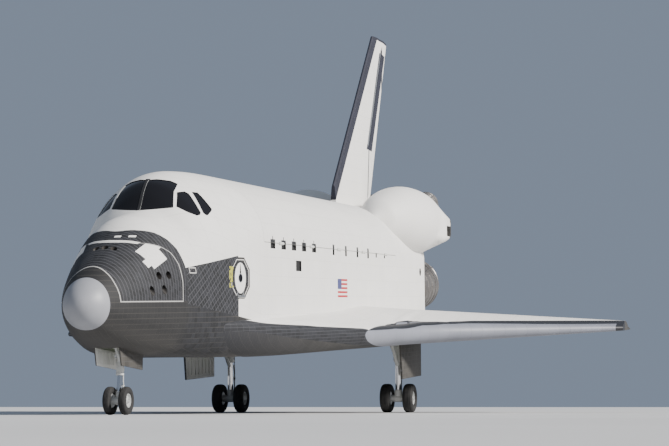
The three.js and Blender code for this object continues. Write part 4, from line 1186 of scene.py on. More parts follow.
def wing_skin():
    """White above and black below, with a charcoal band round the glove and behind the edge panels."""
    colours, sizes = chosen("colours"), chosen("tiles")
    w = Wiring("wing_skin", roughness=0.70)
    s, y, z = w.axes()
    beam = w.size(y)
    near_glove = w.under(beam, GLOVE_EDGE)
    above = w.over(w.facing_up(), w.choose(near_glove, 0.42, 0.78))
    belly, joints = belly_tiles(w, s, beam)
    belly = w.blend(w.noise(0.6, 5, 0, 0.7), belly, scaled(colours.belly, 1.9))
    belly = w.blend(w.soft(w.less(s, 9.5), 7.0), scaled(colours.tile, 1.3), belly)
    belly = w.blend(w.times(joints, 0.3), belly, tuple(colours.old_joint))
    edge_joints, edge_tone = w.cells(s, z, 0.30, 0.105, 0.008, 0.010)
    edge = w.blend(edge_tone, scaled(colours.tile, 0.7), scaled(colours.tile, 1.5))
    edge = w.blend(w.times(edge_joints, 0.5), edge, tuple(colours.joint))
    black = w.blend(w.all_of(w.over(z, w.curve(s, GLOVE_TILES)), near_glove), belly, edge)
    white, seams = quilted(w, s, beam)
    behind_edge = w.less(s, w.curve(beam, [(y, s) for s, y in edge_plan(2.2, WING_TIP, 14)]))
    strip = w.all_of(w.over(beam, EDGE_BAND_START), w.under(behind_edge, 1.05))
    surface = w.blend(w.all_of(above, w.not_(strip)), black, white)
    surface = w.blend(w.all_of(above, strip), surface, scaled(colours.tile, 1.2))
    w.grooves(w.choose(above, joints, seams), sizes.relief)
    return w.done(surface)


def surface_skin():
    """White above and black below, for the moving surfaces."""
    w = Wiring("surface_skin", roughness=0.70)
    s, y, _ = w.axes()
    belly, joints = belly_tiles(w, s, y)
    belly = w.blend(w.times(joints, 0.3), belly, tuple(chosen("colours").old_joint))
    white, seams = quilted(w, s, y)
    above = w.over(w.facing_up(), 0.3)
    w.grooves(w.choose(above, joints, seams), chosen("tiles").relief)
    return w.done(w.blend(above, belly, white))


def carbon_edge():
    """Reinforced panels along the wing's leading edge, with a joint at each end of a panel."""
    colours, sizes = chosen("colours"), chosen("tiles")
    w = Wiring("carbon_edge", roughness=0.52)
    s, y, _ = w.axes()
    beam = w.size(y)
    joints, tone = w.cells(w.times(w.add(s, beam), DIAGONAL), 0.0, sizes.edge_panel, 1.0, 0.010, 0.0)
    carbon = tuple(colours.carbon)
    surface = w.blend(tone, scaled(carbon, 0.96), scaled(carbon, 1.04))
    surface = w.blend(w.noise(1.4, 5, 0, 0.5), surface, scaled(carbon, 0.84))
    surface = w.blend(w.times(joints, 0.45), surface, scaled(carbon, 0.45))
    plan = [(y, s) for s, y in edge_plan(EDGE_BAND_START - 0.2, WING_TIP, 14)]
    behind_edge = w.less(s, w.curve(beam, plan))
    rear = w.all_of(w.over(w.facing_up(), 0.3), w.over(behind_edge, 0.42))
    tip = w.over(beam, WING_TIP - 0.26)
    surface = w.blend(w.any_of(tip, rear), surface, scaled(colours.tile, 1.3))
    w.grooves(joints, 0.004)
    return w.done(surface)


def nose_carbon():
    """The nose cap's even grey."""
    cap = tuple(chosen("colours").cap)
    w = Wiring("nose_carbon", roughness=0.48)
    return w.done(w.blend(w.noise(2.5, 6, 0, 1), scaled(cap, 0.94), scaled(cap, 1.05)))


def fin_skin():
    """The fin's white sides with a dark leading band, cap and hinge band."""
    colours, sizes = chosen("colours"), chosen("tiles")
    w = Wiring("fin_skin", roughness=0.72)
    s, _, z = w.axes()
    white, seams = quilted(w, s, z)
    lead = w.add(w.less(z, FIN_ROOT_Z), FIN_ROOT)
    trail = w.add(w.times(w.less(z, FIN_ROOT_Z), FIN_TRAILING_SLOPE), FIN_ROOT + FIN_CHORD)
    hinge = w.add(w.times(lead, 1 - FIN_HINGE), w.times(trail, FIN_HINGE))
    ahead = w.less(hinge, s)
    leading = w.under(w.less(s, lead), 0.62)
    cap = w.over(z, FIN_TIP_Z - 0.10)
    hinge_band = w.all_of(w.within(ahead, -1.05, 0.35), w.within(z, RUDDER_BOTTOM - 0.10, RUDDER_TOP - 0.10))

    def kink(level, slope, reach):
        line = w.less(z, w.times(ahead, slope))
        return w.all_of(w.near(line, level, 0.16), w.within(ahead, -1.7, reach))

    dark = w.any_of(leading, cap, hinge_band, kink(RUDDER_TOP, 1.1, 0.1), kink(RUDDER_BOTTOM, 1.3, 0.35))
    joints, tone = w.cells(s, z, sizes.tile, sizes.tile, TILE_JOINT, TILE_JOINT)
    band = w.blend(tone, scaled(colours.fin_band, 0.85), scaled(colours.fin_band, 1.2))
    band = w.blend(w.times(joints, 0.15), band, tuple(colours.joint))
    w.grooves(w.choose(dark, seams, joints), sizes.relief)
    return w.done(w.blend(dark, white, band))


def window_glass():
    """Glass that is black inside and mirrors a little."""
    w = Wiring("window_glass", roughness=0.12)
    w.shader.inputs["Specular IOR Level"].default_value = 0.22
    return w.done((0.010, 0.010, 0.012))


def plain(name, rgb, roughness, metallic=0.0, patch=0.12, scale=3.0):
    """One colour with slight wear."""
    w = Wiring(name, roughness=roughness, metallic=metallic)
    return w.done(w.blend(w.noise(scale, 4), scaled(rgb, 1 - patch), scaled(rgb, 1 + patch)))


def bell_metal():
    """A nozzle's wall of fine tubes, browned by heat."""
    w = Wiring("bell_metal", roughness=0.38, metallic=0.85)
    u, v = w.along_and_round()
    ridges, tone = w.cells(u, v, 9.0, 0.030, 0.0, 0.006)
    surface = w.blend(w.noise(1.6, 5), (0.20, 0.185, 0.175), (0.33, 0.315, 0.30))
    surface = w.blend(w.times(tone, 0.25), surface, (0.16, 0.14, 0.13))
    w.grooves(ridges, 0.006)
    return w.done(surface)


def bay_lining():
    """Quilted white cloth inside the payload bay."""
    w = Wiring("bay_lining", roughness=0.8)
    s, y, z = w.axes()
    seams, tone = w.cells(s, w.add(y, z), 0.9, 0.6, 0.014, 0.014)
    white = tuple(chosen("colours").lining)
    surface = w.blend(tone, scaled(white, 0.94), white)
    w.grooves(seams, 0.01)
    return w.done(w.blend(w.times(seams, 0.5), surface, scaled(white, 0.6)))


def radiator():
    """Mirror-like panels with a dark joint between them."""
    w = Wiring("radiator", roughness=0.22, metallic=0.9)
    joints, _ = w.cells(w.axes()[0], 0.0, 4.6, 1.0, 0.05, 0.0)
    return w.done(w.blend(joints, (0.62, 0.64, 0.66), (0.20, 0.20, 0.21)))


def rubber():
    """Dull black rubber with a fine grain."""
    w = Wiring("rubber", roughness=0.85)
    surface = w.blend(w.noise(6.0, 4), (0.012, 0.012, 0.013), (0.026, 0.025, 0.024))
    w.relief(w.noise(60.0, 2), 0.002, 0.3)
    return w.done(surface)


def black_tile():
    return plain_tile("black_tile", tuple(chosen("colours").tile))


def base_tile():
    return plain_tile("base_tile", (0.06, 0.058, 0.055), True)


def door_tile():
    return plain_tile("door_tile", (0.05, 0.046, 0.040))


def well_lining():
    return plain("well_lining", tuple(chosen("colours").well), 0.7)


MAKERS = {maker.__name__: maker for maker in (
    body_skin, white_skin, hatch_skin, smooth_white, black_tile, base_tile, door_tile, wing_skin,
    surface_skin, carbon_edge, nose_carbon, fin_skin, window_glass, bell_metal, bay_lining, well_lining,
    radiator, rubber,
)}
# Finishes of one colour: the colour, roughness, and where they differ metallic, wear and its scale.
PLAIN = {
    "cabin_lining": ((0.30, 0.31, 0.31), 0.8),
    "port_metal": ((0.020, 0.017, 0.015), 0.6, 0.3, 0.4, 8.0),
    # Near black for the walls of holes and recesses: the vents' own dark paint, and painted shade inside the
    # window openings, the hatch's window and keyway, and the ground port.
    "dark_paint_and_recess_shade": ((0.012, 0.012, 0.013), 0.8),
    "gear_paint": ((0.62, 0.63, 0.62), 0.42, 0.0, 0.06),
    "bare_metal": ((0.48, 0.49, 0.50), 0.32, 0.9),
    "polished_metal": ((0.72, 0.72, 0.73), 0.12, 1.0, 0.03),
    "dark_metal": ((0.09, 0.09, 0.095), 0.45, 0.7),
    "wheel_paint": ((0.50, 0.51, 0.50), 0.40, 0.2, 0.08, 6.0),
    "white_paint": ((0.66, 0.66, 0.63), 0.6, 0.0, 0.06),
    "floor": ((0.60, 0.60, 0.60), 0.9, 0.0, 0.05, 0.05),
}
FINISHES = {}


def finish(name):
    """A finish by name, made on its first use."""
    if name not in FINISHES:
        FINISHES[name] = plain(name, *PLAIN[name]) if name in PLAIN else MAKERS[name]()
    return FINISHES[name]


# Shapes that follow a rule


def mix(a, b, t):
    return a + (b - a) * t


def edge_line():
    """The wing's leading edge in plan, as rows of (station, y), carried on a little past both ends."""
    def on(a, b, t):
        return mix(np.array(a), np.array(b), t)

    def bend(a, corner, b):
        t = np.linspace(0, 1, 25)[:, None]
        return (1 - t) ** 2 * a + 2 * t * (1 - t) * np.array(corner) + t**2 * b

    start, first = np.array(GLOVE_START), on(GLOVE_BEND, GLOVE_KINK, 0.18)
    last, outer = on(GLOVE_BEND, GLOVE_KINK, 0.76), on(GLOVE_KINK, TIP_EDGE, 0.22)
    before, after = on(GLOVE_START, GLOVE_BEND, -0.3), on(GLOVE_KINK, TIP_EDGE, 1.3)
    forward, kink = bend(start, GLOVE_BEND, first), bend(last, GLOVE_KINK, outer)
    return np.vstack([[before], forward, kink, [TIP_EDGE, after]])


EDGE = edge_line()


def edge_at(y):
    return np.interp(y, EDGE[:, 1], EDGE[:, 0])


def edge_sweep(y):
    return (edge_at(y + 0.02) - edge_at(y - 0.02)) / 0.04


def edge_plan(first, last, count):
    return [(float(edge_at(y)), float(y)) for y in np.linspace(first, last, count)]


def span_share(y):
    return (y - HALF_WIDTH) / (WING_TIP - HALF_WIDTH)


def hinge_radius(y):
    return mix(0.285, 0.095, span_share(y))


def hinge_point(y):
    return np.array([HINGE_STATION, y, BELLY + (y - HALF_WIDTH) * WING_RISE + hinge_radius(y)])


HINGE_LINE = unit(hinge_point(WING_TIP) - hinge_point(HALF_WIDTH))


def trailing(y):
    (first, first_y), (last, last_y) = TRAILING
    return mix(first, last, (y - first_y) / (last_y - first_y))


def wing_bottom(y):
    """Height of the flat underside, which rises outwards."""
    return BELLY + max(0.0, y - HALF_WIDTH) * WING_RISE


def wing_ring(y, nose_steps=14, chord_steps=20):
    """The wing's section at y, from the leading edge along the bottom and back along the top."""
    front, sweep = edge_at(y), edge_sweep(y)
    height = np.interp(y, *np.array(EDGE_DEPTH).T)
    line = height * mix(0.7, 0.5, np.clip((y - 3.5) / 1.6, 0, 1))
    reach = EDGE_FULLNESS * height / 2 * math.hypot(1, sweep)
    rear = HINGE_STATION - hinge_radius(y) - FLAP_GAP
    bottom = wing_bottom(y)
    turn = np.linspace(0, math.pi / 2, nose_steps + 1)
    rise = np.sin(turn)
    nose_s = front + (1 - np.cos(turn)) * reach
    low, high = bottom + line * (1 - rise), bottom + line + (height - line) * rise
    start = max(front + reach, TIP_EDGE[0] - (TIP_EDGE[1] - y))
    start_depth = height + GLOVE_SLOPE * max(0.0, min(GLOVE_KINK[1] - y, 1.4))
    deepest = mix(1.48, 0.38, max(0.0, span_share(y)))
    hump = max(0.0, deepest - start_depth / 2 - hinge_radius(y))
    v = np.linspace(0, 1, chord_steps + 1)
    depth = mix(start_depth, 2 * hinge_radius(y), v) + hump * np.sin(math.pi * v)
    stations = np.concatenate([nose_s, mix(start, rear, v)])
    lows = np.concatenate([low, np.full(len(v), bottom)])
    highs = np.concatenate([high, bottom + depth])
    lift = np.array([body_at(s)[4] - BELLY if s < BAY_START else 0.0 for s in stations])
    lower = np.stack([stations, np.full(len(stations), y), lows + lift], axis=-1)
    upper = np.stack([stations, np.full(len(stations), y), highs + lift], axis=-1)[1:]
    return np.concatenate([lower, upper[::-1]])


def edge_band(name, inset):
    """The prism over the leading edge panels."""
    ys = np.concatenate([np.linspace(EDGE_BAND_START + inset, 6.5, 14), [WING_TIP + 0.5]])
    ahead = [(edge_at(y) - 1.5, y) for y in ys]
    behind = [(edge_at(y) + (EDGE_BAND - inset) * math.hypot(1, edge_sweep(y)), y) for y in ys]
    return plan_prism(name, ahead + behind[::-1], -4.5, 0.0)


def body_core(name, inset, start=5.2, end=BASE - 0.03):
    """What lies inside the body's skin, to keep what stands against the body out of it."""
    return body_loft(name, stepped(start, end, 0.35), inset)


def elevon_ring(y):
    """An elevon's section: a round nose on the hinge line, and a thin trailing edge."""
    radius, middle = hinge_radius(y), hinge_point(y)
    turn = np.linspace(0, math.pi, 25)
    nose = [(HINGE_STATION - radius * math.sin(t), y, middle[2] + radius * math.cos(t)) for t in turn]
    low = middle[2] - radius
    return nose + [(trailing(y), y, low), (trailing(y), y, low + 0.034)]


def lug_places(name):
    start, end, lugs = ELEVONS[name]
    return [mix(start, end, share) for share in lugs]


def hinge_disc(name, centre, axis, radius, thickness, sides=40):
    half = unit(axis) * thickness / 2
    return rod(name, centre - half, centre + half, radius, sides=sides)


def elevon_lugs():
    """Plates from the rear spar that round the hinge line inside slots in the elevons."""
    lugs = []
    for name in ELEVONS:
        for y in lug_places(name):
            point, radius = hinge_point(y), hinge_radius(y) - LUG_INSET
            lugs.append(hinge_disc("lug", point, HINGE_LINE, radius, LUG_WIDTH))
            root = HINGE_STATION - hinge_radius(y) - FLAP_GAP - 0.06
            low, high = point[2] - radius / 2, point[2] + radius / 2
            half = LUG_WIDTH / 2
            lugs.append(block("lug_root", (root, y - half, low), (HINGE_STATION, y + half, high)))
    return lugs


def fin_lead(z):
    return FIN_ROOT + (z - FIN_ROOT_Z)


def fin_trail(z):
    return FIN_ROOT + FIN_CHORD + (z - FIN_ROOT_Z) * FIN_TRAILING_SLOPE


def fin_hinge(z):
    return mix(fin_lead(z), fin_trail(z), FIN_HINGE)


def fin_half(z):
    return mix(0.330, 0.125, (z - FIN_ROOT_Z) / (FIN_TIP_Z - FIN_ROOT_Z))


def fin_ring(z):
    """The fin's section at a height: a round nose, thickest at the hinge line."""
    front, hinge, rear, half = fin_lead(z), fin_hinge(z), fin_trail(z), fin_half(z)
    turn = np.linspace(0, math.pi / 2, 9)
    port = [(front + 0.12 * (1 - math.cos(t)), 0.07 * math.sin(t)) for t in turn]
    flank = np.array([
        (front + 0.12, 0.07), (front + 0.7, 0.1225), (mix(front, hinge, 0.6), half * 0.82), (hinge, half),
    ])
    port += [tuple(between(flank, s)) for s in np.linspace(front + 0.12, hinge, 14)[1:]]
    port += [(rear, 0.028)]
    starboard = [(s, -y) for s, y in port[:0:-1]]
    return [(s, y, z) for s, y in port + starboard]


FIN_AXIS = unit([fin_hinge(RUDDER_TOP) - fin_hinge(RUDDER_BOTTOM), 0, RUDDER_TOP - RUDDER_BOTTOM])


def fin_axis_point(z, along=0.0):
    return np.array([fin_hinge(z), 0, z]) + FIN_AXIS * along


def rudder_outline(ahead, inset):
    """The rudder's place as seen from the side, with its front ahead of the hinge line by a clearance."""
    aft = np.array([FIN_AXIS[2], 0, -FIN_AXIS[0]])

    def corner(z, shift, along):
        p = fin_axis_point(z, shift) + aft * along
        return (p[0], p[2])

    def forward(z):
        return -ahead * (fin_half(z) + FLAP_GAP)

    return [
        corner(RUDDER_BOTTOM, inset, forward(RUDDER_BOTTOM)), corner(RUDDER_TOP, -inset, forward(RUDDER_TOP)),
        corner(RUDDER_TOP, -inset, 4.0), corner(RUDDER_BOTTOM, inset, 4.0),
    ]


def pod_ring(station):
    """The pod's outline; over the tip it grows round, and behind it stretches round the housing."""
    _, y, z, width, height = between(POD, station)
    share = (station - POD[0, 0] + POD_TIP_AHEAD) / POD_TIP_LENGTH
    if share < 1:
        width, height = (max(v * math.sqrt(max(share, 0.02)) / share**0.25, 0.05) for v in (width, height))
    turn = np.linspace(0, 2 * math.pi, 72, endpoint=False)
    ring = np.stack([y + width * np.cos(turn), z + height * np.sin(turn)], axis=-1)
    if station > HOUSING[0][0]:
        ring = wrapped(ring, np.array([y, z]), housing_ring(station)[:, 1:], turn)
    return np.column_stack([np.full(72, station), ring])


def wrapped(ring, middle, more, turn):
    """The outline stretched round a ring and further points, at the given angles round its middle."""
    points = np.concatenate([ring, more])
    hull = points[convex_hull_2d([tuple(p) for p in points])]
    edges = zip(hull, np.roll(hull, -1, axis=0))
    dense = np.concatenate([np.linspace(a, b, 12, endpoint=False) for a, b in edges]) - middle
    angles = np.arctan2(dense[:, 1], dense[:, 0])
    radius = np.interp(turn, angles, np.hypot(*dense.T), period=2 * math.pi)
    return middle + np.stack([radius * np.cos(turn), radius * np.sin(turn)], axis=-1)


def housing_ring(station):
    """Outline of the aft thrusters' housing, with rounded outer corners."""
    _, inner, outer, low, high = between(np.array(HOUSING), station)
    corner = 0.30
    turn = np.linspace(0, math.pi / 2, 7)
    across = outer - corner + corner * np.sin(turn)
    rise = corner - corner * np.cos(turn)
    yz = [(inner, low), *zip(across, low + rise), *zip(across[::-1], (high - rise)[::-1]), (inner, high)]
    return np.array([(station, y, z) for y, z in yz])


def nozzle_line(station, y, z, up, out):
    """An engine's gimbal and the way its axis points."""
    up, out = math.radians(up), math.radians(out)
    return np.array([station, y, z]), np.array([
        math.cos(up) * math.cos(out), math.cos(up) * math.sin(out), math.sin(up),
    ])


def bell(name, engine, reach, contour, wall, bands, sides):
    """An open bell closed off at its throat, with bands round its outside."""
    gimbal, axis = nozzle_line(*engine)
    fine = smooth_line(contour, 40)
    deep = fine[-1][0]
    spots = np.linspace(0.12, 0.80, bands) * deep
    proud, half, flank = 0.022, 0.022, 0.030

    def radius_at(d):
        return float(np.interp(d, *zip(*fine)))

    def hidden(d, r):
        return any(abs(d - spot) < half and r < radius_at(d) + 0.01 for spot in spots)

    outside = [(-d, r) for d, r in fine]
    for spot in spots:
        for shift, rise in ((-flank, 0.0), (-half, proud), (half, proud), (flank, 0.0)):
            outside.append((-spot + shift, radius_at(spot - shift) + rise))
    outside = [(d, r) for d, r in sorted(outside) if not hidden(-d, r)]
    inside = [(-d, r - wall) for d, r in fine[:-3]]
    mouth, throat = (0.0, fine[0][1] - wall), (-deep + wall, 0.002)
    profile = [(-deep, 0.002), *outside, mouth, *inside[1:], throat]
    return turned(name, profile, gimbal + axis * reach, axis, sides)


def pocket(name, engine, reach, contour, sides, grow=0.004):
    """A tool that clears the inside of a bell, from its throat to its mouth."""
    gimbal, axis = nozzle_line(*engine)
    fine = smooth_line(contour, 12)
    deep = fine[-1][0]
    profile = [(-deep - TOUCH, 0.002), (-deep - TOUCH, fine[-1][1] + grow)]
    profile += [(-d, r + grow) for d, r in fine[::-1]][1:] + [(0.0, 0.002)]
    return turned(name, profile, gimbal + axis * reach, axis, sides)


def drawn_in(outline, inset):
    """An outline with every side moved inwards."""
    points = np.array(outline, float)
    nxt = np.roll(points, -1, axis=0)
    area = np.sum(points[:, 0] * nxt[:, 1] - nxt[:, 0] * points[:, 1])
    sides = nxt - points
    sides /= np.linalg.norm(sides, axis=1)[:, None]
    inward = np.stack([-sides[:, 1], sides[:, 0]], axis=-1) * np.sign(area)
    before = np.roll(inward, 1, axis=0)
    lean = 1 + np.sum(before * inward, axis=1)
    return (points + (before + inward) * (inset / lean)[:, None]).tolist()


def window_prism(name, window, inset=0.0):
    """A window's opening on the port side, along the line of sight that its outline is drawn for."""
    (near, far), outline = WINDOWS[window]
    ahead, abeam = math.cos(WINDOW_AZIMUTH), math.sin(WINDOW_AZIMUTH)

    def seen(depth):
        return lambda p: (p[0] * abeam - depth * ahead, p[0] * ahead + depth * abeam, p[1])

    made = prism(name, drawn_in(outline, inset), seen(near + inset), seen(far - inset))
    return keep_inside(made, block("clip", (2.0, CENTRE_POST + inset, 0.0), (8.0, 4.0, 3.0)))


def hatch_frame():
    """Ways along and out of the wall at the hatch, and the hatch's middle."""
    wall = [body_at(HATCH["station"] + shift)[1] for shift in (-0.5, 0.5, 0.0)]
    lean = wall[1] - wall[0]
    along, out = unit([-1, -lean, 0]), unit([-lean, 1, 0])
    return along, out, np.array([HATCH["station"], wall[2], HATCH["z"]])


def hatch_plug(name, radius, taper=0.0, inside=-0.9, outside=0.3):
    _, out, centre = hatch_frame()
    start, end = centre + out * inside, centre + out * outside
    return rod(name, start, end, radius + taper * inside, radius + taper * outside, sides=72)


def hatch_knuckles(on_hatch, grow=0.0):
    """Knuckles of the hatch's hinge, on the hatch or on the body."""
    along, out, centre = hatch_frame()
    line = centre + np.array([0, 0, -HATCH["hinge"]]) + out * HATCH["proud"]
    spans = [(-0.26, -0.12 - TOUCH), (0.12 + TOUCH, 0.26)] if on_hatch else [(-0.12, 0.12)]
    return [
        rod("knuckle", line + along * (a - grow), line + along * (b + grow), 0.040 + grow, sides=24)
        for a, b in spans
    ]


def hatch_straps(grow=0.0):
    """Straps from the hinge's knuckles up onto the hatch."""
    along, out, centre = hatch_frame()
    straps = []
    for side in (-1, 1):
        line = centre + along * side * 0.19 - out * 0.022
        low = line + np.array([0, 0, -HATCH["hinge"] - grow])
        high = line + np.array([0, 0, -HATCH["radius"] + 0.08 + grow])
        straps.append(rod("strap", low, high, 0.030 + grow, sides=16))
    return straps


def door_knuckles(on_door, grow=0.0):
    """Knuckles of the port bay door's hinges, on the door or on the sill."""
    radius, half, arm = (DOOR_KNUCKLE[k] for k in ("radius", "half", "arm"))
    spans = [(-half - arm, -half - TOUCH), (half + TOUCH, half + arm)] if on_door else [(-half, half)]
    ends = [(s + a - grow, s + b + grow) for s in DOOR_HINGES for a, b in spans]
    return [
        rod("knuckle", (start, HALF_WIDTH, SILL), (end, HALF_WIDTH, SILL), radius + grow, sides=24)
        for start, end in ends
    ]


def floor_at(station):
    """Height of the floor under a station, in the airframe's axes."""
    return MAIN_GROUND + (MAIN_STATION - station) * math.tan(PITCH)


def axle_at(station, wheel):
    return floor_at(station) + wheel["radius"] / COS


ACROSS = np.array([0.0, 1.0, 0.0])


def tyre(name, station, y, z, wheel, sides=96):
    """A tyre with grooves round its tread."""
    rim, radius, half = wheel["rim"], wheel["radius"], wheel["width"] / 2
    middle, height = (rim + radius) / 2, (radius - rim) / 2
    turn = np.linspace(0, 2 * math.pi, 64, endpoint=False)
    profile = []
    for t in turn:
        a, b = math.cos(t), math.sin(t)
        across = half * math.copysign(abs(a) ** 0.75, a)
        out = middle + height * math.copysign(abs(b) ** 0.75, b)
        groove = any(abs(across - half * g) < half * 0.035 for g in (-0.48, -0.16, 0.16, 0.48))
        profile.append((across, out - (0.010 if groove and b > 0.5 else 0.0)))
    return turned(name, profile, (station, y, z), ACROSS, sides, closed=True)


def wheel_pair(name, station, y, z, wheel):
    """Two dished rims on the axle that turns with them."""
    rim, gap, shaft = wheel["rim"], wheel["gap"], wheel["shaft"]
    bead = wheel["width"] / 2 * BEAD
    inner, outer = gap - bead, gap + bead
    side = [
        (inner, shaft), (inner, rim * 0.93), (inner + 0.012, rim - TOUCH), (outer - 0.012, rim - TOUCH),
        (outer, rim * 0.97), (outer, rim * 0.88), (outer - 0.02, rim * 0.84), (gap + bead * 0.35, rim * 0.74),
        (gap + bead * 0.28, rim * 0.60), (gap + bead * 0.34, rim * 0.46), (outer - 0.012, rim * 0.38),
        (outer, rim * 0.34), (outer, rim * 0.16), (outer + 0.010, rim * 0.14), (outer + 0.010, 0.002),
    ]
    other = [(-d, r) for d, r in side[::-1]]
    return turned(name, other + side, (station, y, z), ACROSS, 64)


def cross_tube(name, station, y, z, wheel):
    """The tube at a leg's foot that the axle turns in."""
    end = wheel["gap"] - wheel["width"] / 2 * BEAD - TOUCH
    bore, wall = wheel["shaft"] + 0.0012, wheel["shaft"] + 0.060
    side = [(end * 0.4, wall * 1.12), (end * 0.45, wall), (end - 0.02, wall), (end, wall * 0.92), (end, bore)]
    other = [(-d, r) for d, r in side[::-1]]
    return turned(name, other + side, (station, y, z), ACROSS, 40, closed=True)


def both_sides(port, name, body, nodes, angle=32):
    """Places a port piece and its mirror image, each on its own body in place of its own nodes."""
    starboard = mirrored(port, name + "_right")
    port.name = name + "_left"
    for piece, side in ((port, "left"), (starboard, "right")):
        placed(piece, body.format(side), [node + "_" + side for node in nodes], angle)


# Pieces


class ORBITER_OT_nose_cap(bpy.types.Operator):
    """Round grey cap at the tip of the nose"""

    bl_idname = "orbiter.nose_cap"
    bl_label = "Nose cap"

    def execute(self, context):
        reach = np.linspace(0.02, 1, 44) ** 2 * (CAP_END - TOUCH)
        cap = body_loft("nose_cap_skin", reach)
        placed(dressed(cap, "nose_carbon"), "airframe", ["nose_cap"])
        return {"FINISHED"}


class ORBITER_OT_forward_body(bpy.types.Operator):
    """Hollow forward body with its window openings, hatch hole and nose wheel well"""

    bl_idname = "orbiter.forward_body"
    bl_label = "Forward body"

    def execute(self, context):
        body = body_loft("forward_body", stepped(CAP_END, BAY_START - TOUCH, 0.08))
        cabin = body_loft("cabin", stepped(CABIN_START, CABIN_END, 0.10), CABIN_SHELL)
        over_floor = block("over_floor", (CABIN_START - 0.1, -3, CABIN_FLOOR), (CABIN_END + 0.1, 3, 3))
        keep_inside(cabin, over_floor)
        start, end, half, roof = (NOSE_WELL[k] for k in ("start", "end", "half", "roof"))
        well = block("nose_well", (start, -half, -4.0), (end, half, roof))
        carve(body, [side_prism("module_pocket", MODULE, -3, 3), cabin, well])
        windows = [opening for name in WINDOWS for opening in both(window_prism("opening", name))]
        hatch = [hatch_plug("hatch_hole", HATCH["radius"] + SEAM)]
        carve(body, [joined("openings", windows + hatch)])
        carve(body, hatch_knuckles(True, SEAM) + hatch_straps(SEAM))
        dressed(body, "body_skin", "cabin_lining", "well_lining", "dark_paint_and_recess_shade", "bay_lining")
        paint(body, 1, region(depth=(0.10, FAR), s=(3.7, FAR), z=(CABIN_FLOOR - 0.05, FAR)))
        paint(body, 2, region(depth=(0.003, FAR), beam=(-FAR, 0.41), z=(-FAR, -2.19)))
        # Painted shade: the walls of the window openings are painted near black.
        paint(body, 3, region(depth=(0.013, 0.117), s=(4, 6.4), z=(0.8, FAR)))
        paint(body, 4, region(s=(BAY_START - 0.002, FAR)))
        middle = [dressed(piece, "bare_metal") for piece in hatch_knuckles(False)]
        body = joined("forward_body", [body] + middle)
        placed(body, "airframe", ["forward_fuselage"], 30)
        self.airlock(BAY_START, -0.9)
        return {"FINISHED"}

    @staticmethod
    def airlock(wall, z):
        """The round lid in the bay's forward wall, with its handle."""
        ring = [(0, 0.60), (0.05, 0.60), (0.07, 0.57), (0.07, 0.50)]
        lid = [(0, 0.48), (0.08, 0.47), (0.12, 0.36), (0.13, 0.002)]
        pieces = [
            turned("airlock_ring", ring, (wall - 0.002, 0, z), (1, 0, 0), 64),
            turned("airlock_lid", lid, (wall, 0, z), (1, 0, 0), 64),
            rod("airlock_handle", (wall + 0.16, -0.16, z), (wall + 0.16, 0.16, z), 0.015),
            rod("airlock_stem", (wall + 0.1, 0, z), (wall + 0.165, 0, z), 0.03),
        ]
        placed(dressed(joined("airlock", pieces), "bare_metal"), "airframe")


class ORBITER_OT_thruster_module(bpy.types.Operator):
    """Black tiled module on the nose with its thruster ports"""

    bl_idname = "orbiter.thruster_module"
    bl_label = "Forward thruster module"

    def execute(self, context):
        module = body_loft("thruster_module", stepped(CAP_END, 3.76, 0.07))
        keep_inside(module, side_prism("outline", drawn_in(MODULE, TOUCH), -3, 3))
        ports = []
        for place, out, radius in self.ports():
            inner, outer = np.array(place) - unit(out) * 0.32, np.array(place) + unit(out) * 0.12
            ports.append(rod("port", inner, outer, radius * 0.38, radius * 1.25, sides=32))
        carve(module, [joined("ports", ports)])
        dressed(module, "body_skin", "port_metal")
        under_skin = region(depth=(0.006, 0.5))
        paint(module, 1, lambda p: under_skin(p) & near_ports(p, self.ports()))
        placed(module, "airframe", ["forward_thruster_module"])
        return {"FINISHED"}

    @staticmethod
    def ports():
        """Each port's place on the skin, the way it points and its radius."""
        found = []
        for side in (1, -1):
            for s, y, z in ((2.62, 1.388, -0.76), (3.03, 1.52, -0.74)):
                found.append(((s, side * y, z), (-0.15, side, -0.12), 0.105))
            for s, y, z in ((2.20, 1.33, -1.18), (2.75, 1.48, -1.14)):
                found.append(((s, side * y, z), (0.0, side, -0.75), 0.095))
        for y in (-0.27, 0.0, 0.27):
            found.append(((1.98, y, body_at(1.98)[3] - y * y * 0.2), (-0.25, y * 0.4, 1), 0.105))
        return found


def near_ports(p, ports):
    """Which points lie in or close round one of the ports."""
    hits = np.zeros(p.shape[1], bool)
    for place, out, radius in ports:
        off, along = from_line(p, place, out)
        hits |= (off < radius * 1.3) & (np.hypot(off, along) < 0.5)
    return hits


class ORBITER_OT_windows(bpy.types.Operator):
    """Dark panes of the six forward windows"""

    bl_idname = "orbiter.windows"
    bl_label = "Windows"

    def execute(self, context):
        span = stepped(4.3, 6.5, 0.06)
        layer = body_loft("window_panes", span, PANE_DEPTH)
        carve(layer, [body_loft("behind", stepped(4.2, 6.6, 0.06), PANE_BACK)])
        openings = [pane for name in WINDOWS for pane in both(window_prism("pane_shape", name, 0.002))]
        keep_inside(layer, joined("pane_shapes", openings))
        nodes = [f"window_{name}_{side}" for name in WINDOWS for side in ("left", "right")]
        placed(dressed(layer, "window_glass"), "airframe", nodes)
        return {"FINISHED"}


